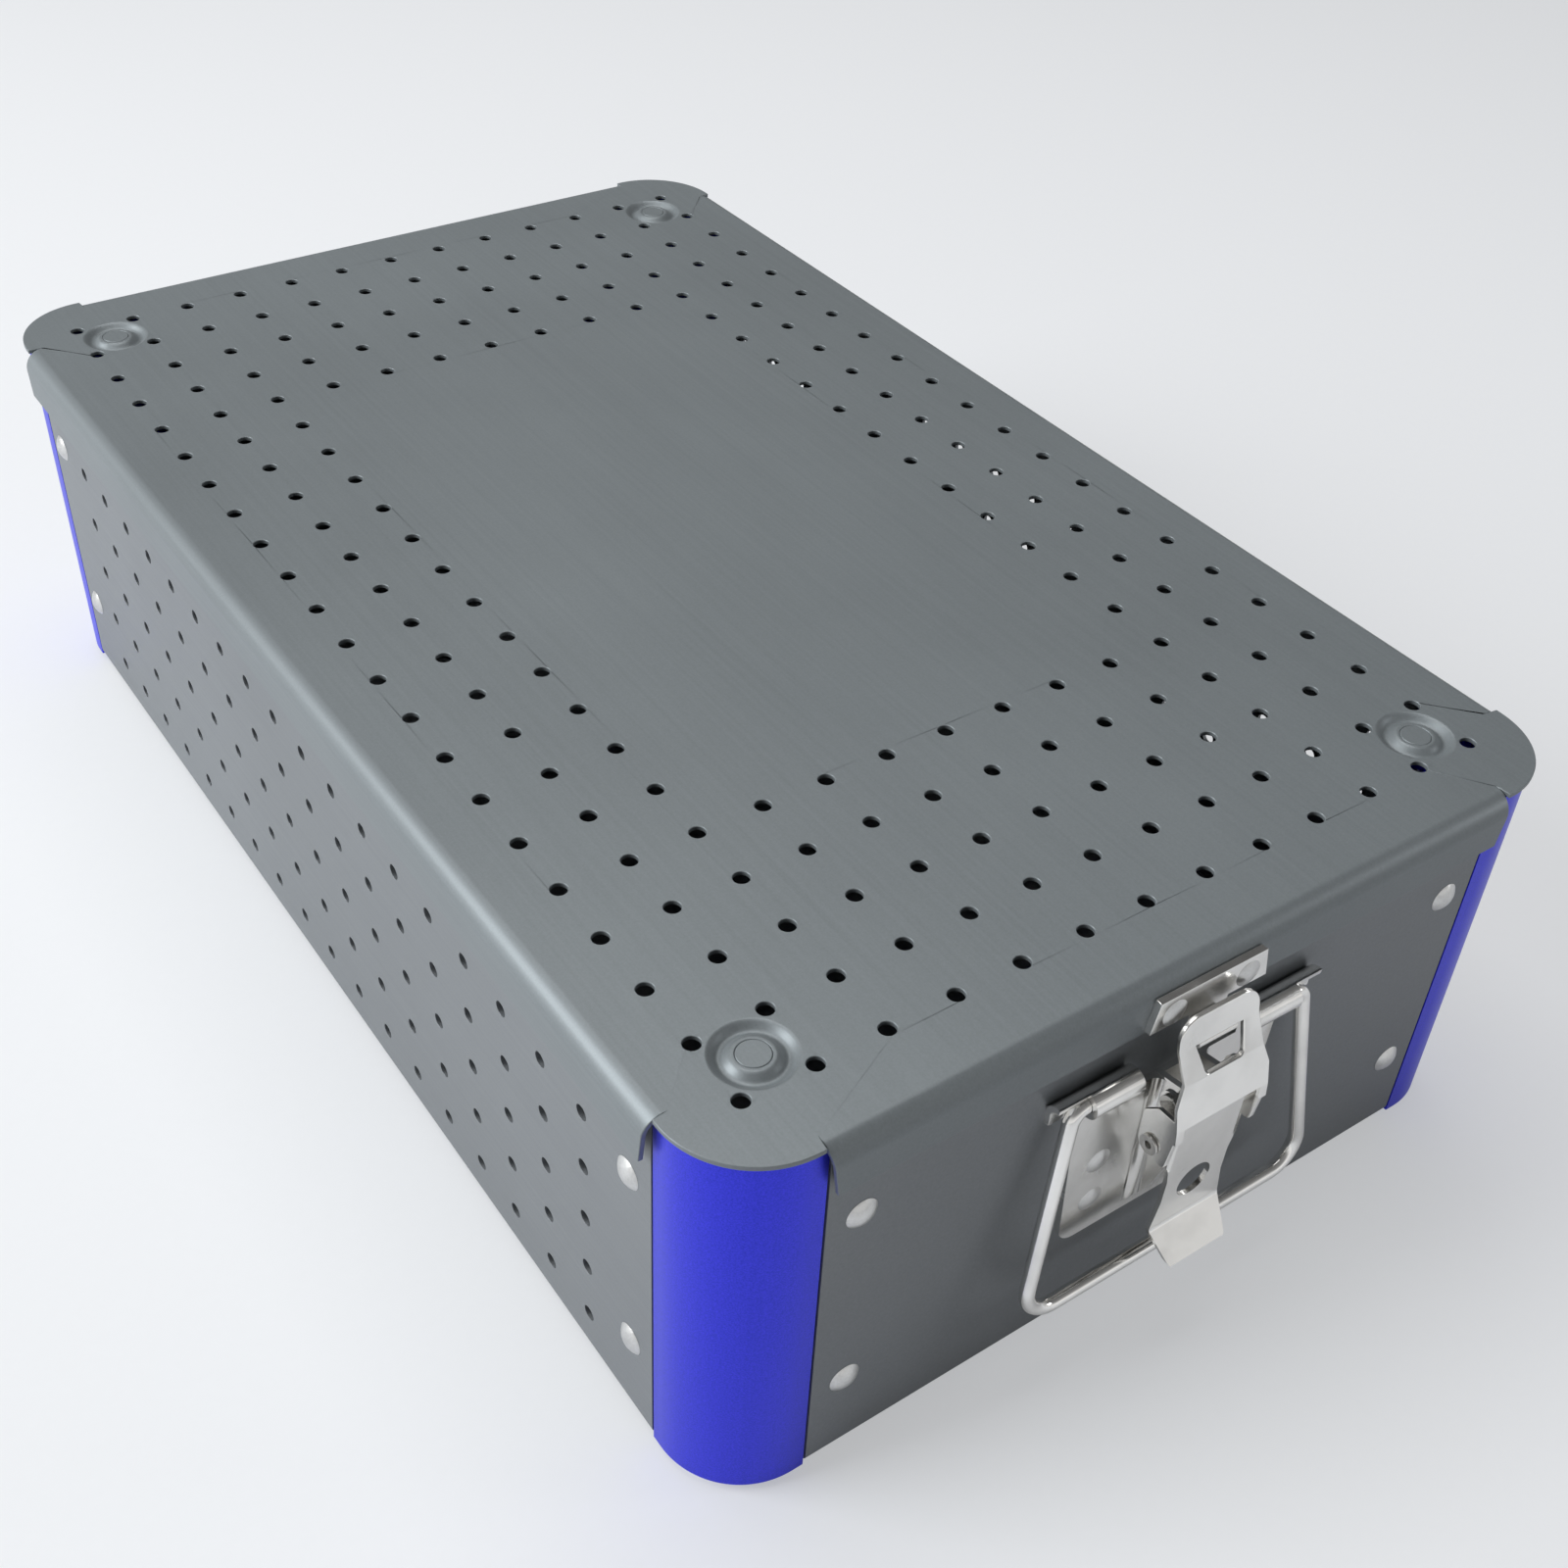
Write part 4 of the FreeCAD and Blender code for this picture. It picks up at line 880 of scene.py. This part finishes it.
    def build(self, finish: bpy.types.Material) -> None:
        """Fold, punch and press the lid.

        Args:
            finish: material of the sheet.
        """
        self.measure()
        skin = SheetForm()
        skin.ribbon(self.flange_rows(self.half_width, self.run_y, to_side))
        skin.ribbon(self.flange_rows(self.half_length, self.run_x, to_end))
        skin.spin_copy()
        openings = self.holes() + [ring(middle, self.recess_radius, self.recess_points)
                                   for middle in self.recess_middles()]
        skin.flat(self.top_outline(), openings, lambda across, along: Vector((across, along, self.top)))
        for middle in self.recess_middles():
            skin.ribbon(self.recess_rows(middle), closed=True)
        lid = skin.close("lid_sheet")
        thicken(lid, SHEET_THICKNESS)
        soften(lid, self.edge, corner=FOLD_ANGLE)
        for vertex in lid.data.vertices:
            vertex.co.z = min(vertex.co.z, self.top)
        level_flats(lid)
        self.seat(lid, ["lid_panel"], "lid_sheet", finish)


@dataclass
class Pan(SubAssembly):
    """Folded pan with a plain wall at each end and a punched wall along each side."""

    bend: float = 2.0 * MM
    wall_end: float = 19.9 * MM
    profile_depth: float = 3.4 * MM
    lobe_radius: float = 13.6 * MM
    columns: int = 18
    rows: int = 5
    first_row: float = 12.6 * MM
    edge: float = 0.14 * MM
    hole_points: int = 28
    lobe_steps: int = 16
    bend_steps: int = 5

    def measure(self) -> None:
        """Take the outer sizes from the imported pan."""
        low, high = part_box("base_pan")
        self.half_width, self.half_length = high.x, high.y
        self.floor, self.rim = low.z, high.z
        self.run_x, self.run_y = self.half_width - self.wall_end, self.half_length - self.wall_end

    def holes(self) -> list[list[Flat]]:
        """Place the steam holes of a long wall.

        Returns:
            Their rims, by distance along and height.
        """
        middles = [((column - (self.columns - 1) / 2) * STEAM_HOLE_PITCH,
                    self.first_row + row * STEAM_HOLE_PITCH)
                   for column in range(self.columns) for row in range(self.rows)]
        return [ring(middle, STEAM_HOLE_RADIUS, self.hole_points) for middle in middles]

    def foot_bend(self, reach: float, half_run: float,
                  lift: Callable[[float, float, float], Vector]) -> list[list[Vector]]:
        """Round the bend at the foot of a wall.

        Args:
            reach: outer face of the wall, from the middle.
            half_run: half length of the wall.
            lift: to_side or to_end.

        Returns:
            Rows of points from the wall to the floor.
        """
        rows = []
        for step in range(self.bend_steps + 1):
            angle = QUARTER_TURN * step / self.bend_steps
            out = reach - self.bend + self.bend * math.cos(angle)
            height = self.floor + self.bend - self.bend * math.sin(angle)
            rows.append([lift(out, -half_run, height), lift(out, half_run, height)])
        return rows

    def floor_outline(self) -> list[Flat]:
        """Draw the flat floor with its rounded corner lobes.

        Returns:
            Its outline, counter-clockwise from above.
        """
        lobe_x, lobe_y = self.half_width - self.profile_depth, self.half_length - self.profile_depth
        arc_middle = (lobe_x - self.lobe_radius, lobe_y - self.lobe_radius)
        first = [(self.half_width - self.bend, self.run_y), (lobe_x, self.run_y),
                 *quarter(arc_middle, self.lobe_radius, self.lobe_steps),
                 (self.run_x, lobe_y), (self.run_x, self.half_length - self.bend)]
        return all_corners(first)

    def wall_outline(self, half_run: float) -> list[Flat]:
        """Draw the flat of a wall above its bend.

        Args:
            half_run: half length of the wall.

        Returns:
            Its outline, by distance along and height.
        """
        foot = self.floor + self.bend
        return [(-half_run, foot), (half_run, foot), (half_run, self.rim), (-half_run, self.rim)]

    def build(self, finish: bpy.types.Material) -> None:
        """Fold and punch the pan.

        Args:
            finish: material of the sheet.
        """
        self.measure()
        skin = SheetForm()
        skin.flat(self.wall_outline(self.run_y), self.holes(),
                  lambda along, up: to_side(self.half_width, along, up))
        skin.flat(self.wall_outline(self.run_x), [], lambda along, up: to_end(self.half_length, along, up))
        skin.ribbon(self.foot_bend(self.half_width, self.run_y, to_side))
        skin.ribbon(self.foot_bend(self.half_length, self.run_x, to_end))
        skin.spin_copy()
        from_below = [(-across, along) for across, along in reversed(self.floor_outline())]
        skin.flat(from_below, [], lambda across, along: Vector((-across, along, self.floor)))
        pan = skin.close("pan_sheet")
        thicken(pan, SHEET_THICKNESS)
        soften(pan, self.edge, corner=FOLD_ANGLE)
        level_flats(pan)
        self.seat(pan, ["base_pan"], "pan_sheet", finish)


@dataclass
class CornerProfiles(SubAssembly):
    """Four drawn quarter-round corner profiles with tongues behind the walls."""

    radius: float = 17.0 * MM
    reach: float = 19.4 * MM
    skin: float = 1.1 * MM
    depth: float = 3.1 * MM
    tongue: float = 13.0 * MM
    tongue_inset_low: float = 2.3 * MM
    joint: float = 0.5 * MM
    edge: float = 0.2 * MM
    outer_steps: int = 28
    inner_steps: int = 16

    def outline(self, full: bool) -> list[Flat]:
        """Section of a profile in its own corner, counter-clockwise, with the corner at the origin.

        Args:
            full: whether the tongues belong to the section.

        Returns:
            Points with the case's inside towards -X and -Y.
        """
        middle = (-self.radius, -self.radius)
        outer = quarter(middle, self.radius, self.outer_steps)
        inner = reversed(quarter(middle, self.radius - self.depth, self.inner_steps))
        tip = self.reach + (self.tongue if full else self.joint)
        start = [(-self.skin, -tip), (-self.skin, -self.reach), (0.0, -self.reach)]
        end = [(-self.reach, 0.0), (-self.reach, -self.skin), (-tip, -self.skin)]
        return [(-self.depth, -tip), *start, *outer, *end, (-tip, -self.depth), *inner]

    def stretch(self, form: bmesh.types.BMesh, full: bool, low: float, high: float) -> None:
        """Add one upright stretch of a profile to a mesh.

        Args:
            form: the mesh.
            full: whether the stretch has its tongues.
            low: height of its lower end.
            high: height of its upper end.
        """
        outline = self.outline(full)
        base = form.faces.new([form.verts.new((x, y, low)) for x, y in reversed(outline)])
        raised = bmesh.ops.extrude_face_region(form, geom=[base])["geom"]
        lifted = [item for item in raised if isinstance(item, bmesh.types.BMVert)]
        bmesh.ops.translate(form, verts=lifted, vec=(0, 0, high - low))

    def build(self, finish: bpy.types.Material) -> None:
        """Draw and place the four profiles.

        Args:
            finish: material of the extrusion.
        """
        for end in End:
            for side in Side:
                self.draw(end, side, finish)

    def draw(self, end: End, side: Side, finish: bpy.types.Material) -> None:
        """Draw one profile and place it in its corner.

        Args:
            end: end of the case that it stands at.
            side: side of the case that it stands at.
            finish: material of the extrusion.
        """
        node = "corner_profile_%s_%s" % (end.name.lower(), side.name.lower())
        low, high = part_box(node)
        corner_x = max(abs(low.x), abs(high.x)) * side.value
        corner_y = max(abs(low.y), abs(high.y)) * end.value
        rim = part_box("base_pan")[1].z
        foot = low.z + self.tongue_inset_low
        form = bmesh.new()
        self.stretch(form, True, foot, min(high.z, rim))
        self.stretch(form, False, low.z, foot)
        if high.z > rim:
            self.stretch(form, False, rim, high.z)
        bmesh.ops.remove_doubles(form, verts=form.verts, dist=FINE_WELD_DISTANCE)
        bmesh.ops.recalc_face_normals(form, faces=form.faces)
        piece = as_object("drawn_" + node, form)
        turn = Matrix.Diagonal((side.value, end.value, 1, 1))
        piece.data.transform(Matrix.Translation((corner_x, corner_y, 0)) @ turn)
        if side.value * end.value < 0:
            piece.data.flip_normals()
        soften(piece, self.edge, corner=FOLD_ANGLE)
        self.seat(piece, [node], "corner_profile", finish)


@dataclass
class Fastenings(SubAssembly):
    """Rivets and feet that are fixed to one body."""

    def build(self, parts: dict[str, tuple[str, bpy.types.Material, float]]) -> None:
        """Dress each group.

        Args:
            parts: slot, material and edge rounding for each CAD node.
        """
        for node, (slot, finish, width) in parts.items():
            self.softened(node, slot, finish, width)


@dataclass
class Bail(SubAssembly):
    """Carrying bail bent from round wire, stored against the end wall."""

    end: End = End.FRONT
    wire: float = 1.5 * MM
    inner_end: float = 14.2 * MM
    top_half: float = 27.5 * MM
    low_half: float = 35.5 * MM
    reach: float = 48.0 * MM
    top_bend: float = 3.2 * MM
    low_bend: float = 6.5 * MM
    lean: float = 5.4
    edge: float = 0.15 * MM
    bend_steps: int = 12
    round_steps: int = 7

    def route(self) -> list[Vector]:
        """Lay out the centre line of the wire in its own plane, with rounded bends.

        Returns:
            Points from the left end of the wire to the right one.
        """
        corners = [(-self.inner_end, 0.0), (-self.top_half, 0.0), (-self.low_half, -self.reach),
                   (self.low_half, -self.reach), (self.top_half, 0.0), (self.inner_end, 0.0)]
        radii = (self.top_bend, self.low_bend, self.low_bend, self.top_bend)
        places = [Vector((x, 0.0, z)) for x, z in corners]
        points = [places[0]]
        for before, here, after, radius in zip(places, places[1:], places[2:], radii):
            back, ahead = (before - here).normalized(), (after - here).normalized()
            half = back.angle(ahead) / 2
            middle = here + (back + ahead).normalized() * radius / math.sin(half)
            start = (here + back * radius / math.tan(half) - middle).normalized()
            end = (here + ahead * radius / math.tan(half) - middle).normalized()
            for step in range(self.bend_steps + 1):
                points.append(middle + radius * start.slerp(end, step / self.bend_steps))
        return [*points, places[-1]]

    def build(self, pivot: Vector, finish: bpy.types.Material) -> None:
        """Bend the wire and hang it in its barrels.

        Args:
            pivot: middle of the axis that it swings on.
            finish: material of the wire.
        """
        node = self.body
        curve = bpy.data.curves.new("bent_" + node, "CURVE")
        curve.dimensions = "3D"
        curve.bevel_depth = self.wire
        curve.bevel_resolution = self.round_steps
        curve.use_fill_caps = True
        spline = curve.splines.new("POLY")
        points = self.route()
        spline.points.add(len(points) - 1)
        turn = Matrix.Rotation(math.radians(self.lean) * self.end.value, 4, "X")
        for spot, point in zip(spline.points, points):
            spot.co = (*(turn @ point + pivot), 1.0)
        holder = linked("centre_line_" + node, curve)
        graph = bpy.context.evaluated_depsgraph_get()
        form = bmesh.new()
        form.from_mesh(bpy.data.meshes.new_from_object(holder.evaluated_get(graph)))
        bpy.data.objects.remove(holder)
        bmesh.ops.remove_doubles(form, verts=form.verts, dist=FINE_WELD_DISTANCE)
        piece = as_object("bent_" + node, form)
        soften(piece, self.edge, corner=WIRE_ANGLE)
        self.seat(piece, [node], "bail_wire", finish)


# The studio


@dataclass(frozen=True)
class Softbox:
    """One soft rectangular lamp that faces the case."""

    name: str
    place: Triple
    size: Flat
    power: float
    tint: Colour = (1.0, 1.0, 1.0)
    target: Triple = (0.0, 0.0, 0.05)

    def hang(self) -> None:
        """Hang the lamp and turn it to its target."""
        lamp = bpy.data.lights.new(self.name, "AREA")
        lamp.shape = "RECTANGLE"
        lamp.size, lamp.size_y = self.size
        lamp.energy = self.power
        lamp.color = self.tint
        holder = linked(self.name, lamp)
        holder.location = self.place
        aim = Vector(self.target) - Vector(self.place)
        holder.rotation_euler = aim.to_track_quat("-Z", "Y").to_euler()


@dataclass
class Studio:
    """Floor, soft lamps, surroundings and camera."""

    floor_size: float = 9.0
    lamps: tuple[Softbox, ...] = (
        Softbox("ceiling_softbox", (0.0, 0.3, 1.3), (1.0, 1.0), 9.0),
        Softbox("window_left", (-1.2, 0.5, 0.85), (0.9, 0.8), 22.0, (0.95, 0.98, 1.0)),
        Softbox("door_right", (1.0, -0.8, 0.5), (0.3, 0.3), 1.8, (0.95, 0.97, 1.0)),
    )
    location: Triple = (-0.19699, -0.30584, 0.31410)
    angles: Triple = (49.575, -2.605, -34.836)
    lens: float = 44.15
    sensor_width: float = 36.0
    nearest: float = 0.01
    shift: Flat = (-0.0067, 0.0204)
    ambient: float = 0.09
    backdrop: Colour = (0.9, 0.91, 0.93)

    def build_floor(self) -> None:
        """Lay a large sheet of paper under the case."""
        form = bmesh.new()
        bmesh.ops.create_grid(form, x_segments=4, y_segments=4, size=self.floor_size / 2)
        floor = as_object("paper_floor", form)
        floor.data.materials.append(StudioFloor().build())

    def build_surroundings(self) -> None:
        """Light the scene evenly and weakly, and give polished parts a room to mirror.

        The mirrored room has pale walls in front and on the left, and a darker ceiling and back.
        """
        world = bpy.data.worlds.new("studio_room")
        bpy.context.scene.world = world
        world.use_nodes = True
        recipe = Recipe(world.node_tree)
        direction = recipe.wire(recipe.add("ShaderNodeTexCoord"), "Generated")
        parts = recipe.add("ShaderNodeSeparateXYZ", inputs={"Vector": direction})
        wall = recipe.ramp(recipe.wire(parts, "Z"),
                           [(0.0, 1.0), (0.25, 0.75), (0.5, 0.25), (1.0, 0.16)])
        facing = 0.5 - 0.3 * recipe.wire(parts, "X") - 0.25 * recipe.wire(parts, "Y")
        mirrored = wall * recipe.ramp(facing, [(0.15, 0.3), (0.6, 1.0)])
        rays = recipe.add("ShaderNodeLightPath")
        glossy = recipe.wire(rays, "Is Glossy Ray")
        seen = recipe.wire(rays, "Is Camera Ray").peak(recipe.wire(rays, "Is Transmission Ray"))
        tone = recipe.mix(glossy, (self.ambient, self.ambient, self.ambient), mirrored)
        tone = recipe.mix(seen, tone, self.backdrop)
        sky = recipe.add("ShaderNodeBackground", inputs={"Color": tone, "Strength": 1.0})
        recipe.add("ShaderNodeOutputWorld", inputs={"Surface": recipe.wire(sky)})

    def build_camera(self) -> None:
        """Set the camera where the photograph was taken."""
        camera = bpy.data.cameras.new("camera")
        camera.sensor_width = self.sensor_width
        camera.lens = self.lens
        camera.shift_x, camera.shift_y = self.shift
        camera.clip_start = self.nearest
        holder = linked("camera", camera)
        holder.location = self.location
        holder.rotation_euler = tuple(math.radians(angle) for angle in self.angles)
        bpy.context.scene.camera = holder

    def build(self) -> None:
        """Set up the whole studio."""
        self.build_floor()
        for lamp in self.lamps:
            lamp.hang()
        self.build_surroundings()
        self.build_camera()
        bpy.context.scene.view_settings.view_transform = "Standard"


def main() -> None:
    """Build the container, piece by piece, and the studio round it."""
    sheet = AnodisedSheet("anodised_lid").build()
    wall = AnodisedSheet("anodised_walls", colour=(0.215, 0.228, 0.24), roughness=0.46).build()
    violet = AnodisedProfile("anodised_violet").build()
    steel = PolishedSteel("polished_latch").build()
    wire = PolishedSteel("polished_wire", roughness=0.09, wave_depth=0.03 * MM).build()
    rivet = RivetMetal("rivet_heads").build()
    pin = RivetMetal("pin_metal", colour=(0.62, 0.61, 0.59), roughness=0.2).build()

    Lid("lid").build(sheet)
    Pan("case").build(wall)
    CornerProfiles("case").build(violet)
    Fastenings("case").build({
        "wall_rivets": ("rivets", rivet, RIVET_EDGE),
        "bracket_rivets": ("rivets", rivet, RIVET_EDGE),
        "foot_rivets": ("rivets", rivet, RIVET_EDGE),
        "stacking_feet": ("feet", wall, FOOT_EDGE),
        "front_bracket": ("latch_steel", steel, STAMPED_EDGE),
        "back_bracket": ("latch_steel", steel, STAMPED_EDGE),
        "front_lever_pin": ("pivot_pins", pin, RIVET_EDGE),
        "back_lever_pin": ("pivot_pins", pin, RIVET_EDGE),
    })
    Fastenings("lid").build({
        "lid_boss_rivets": ("rivets", sheet, STAMPED_EDGE),
        "keeper_rivets": ("rivets", rivet, RIVET_EDGE),
        "front_keeper": ("latch_steel", steel, STAMPED_EDGE),
        "back_keeper": ("latch_steel", steel, STAMPED_EDGE),
    })
    for end in End:
        word = end.name.lower()
        Fastenings(word + "_lever").build({
            word + "_lever": ("latch_steel", steel, LATCH_EDGE),
            word + "_loop_pins": ("pivot_pins", pin, RIVET_EDGE),
        })
        Fastenings(word + "_loop").build({word + "_loop": ("latch_steel", steel, LATCH_EDGE)})
        hinge = next(joint for joint in frame["joints"] if joint["child"] == word + "_bail")
        Bail(word + "_bail", end=end).build(Vector(hinge["pos_m"]), wire)
    Studio().build()


if __name__ == "__main__":
    logging.basicConfig(level=logging.INFO, format="%(message)s")
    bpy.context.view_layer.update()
    main()
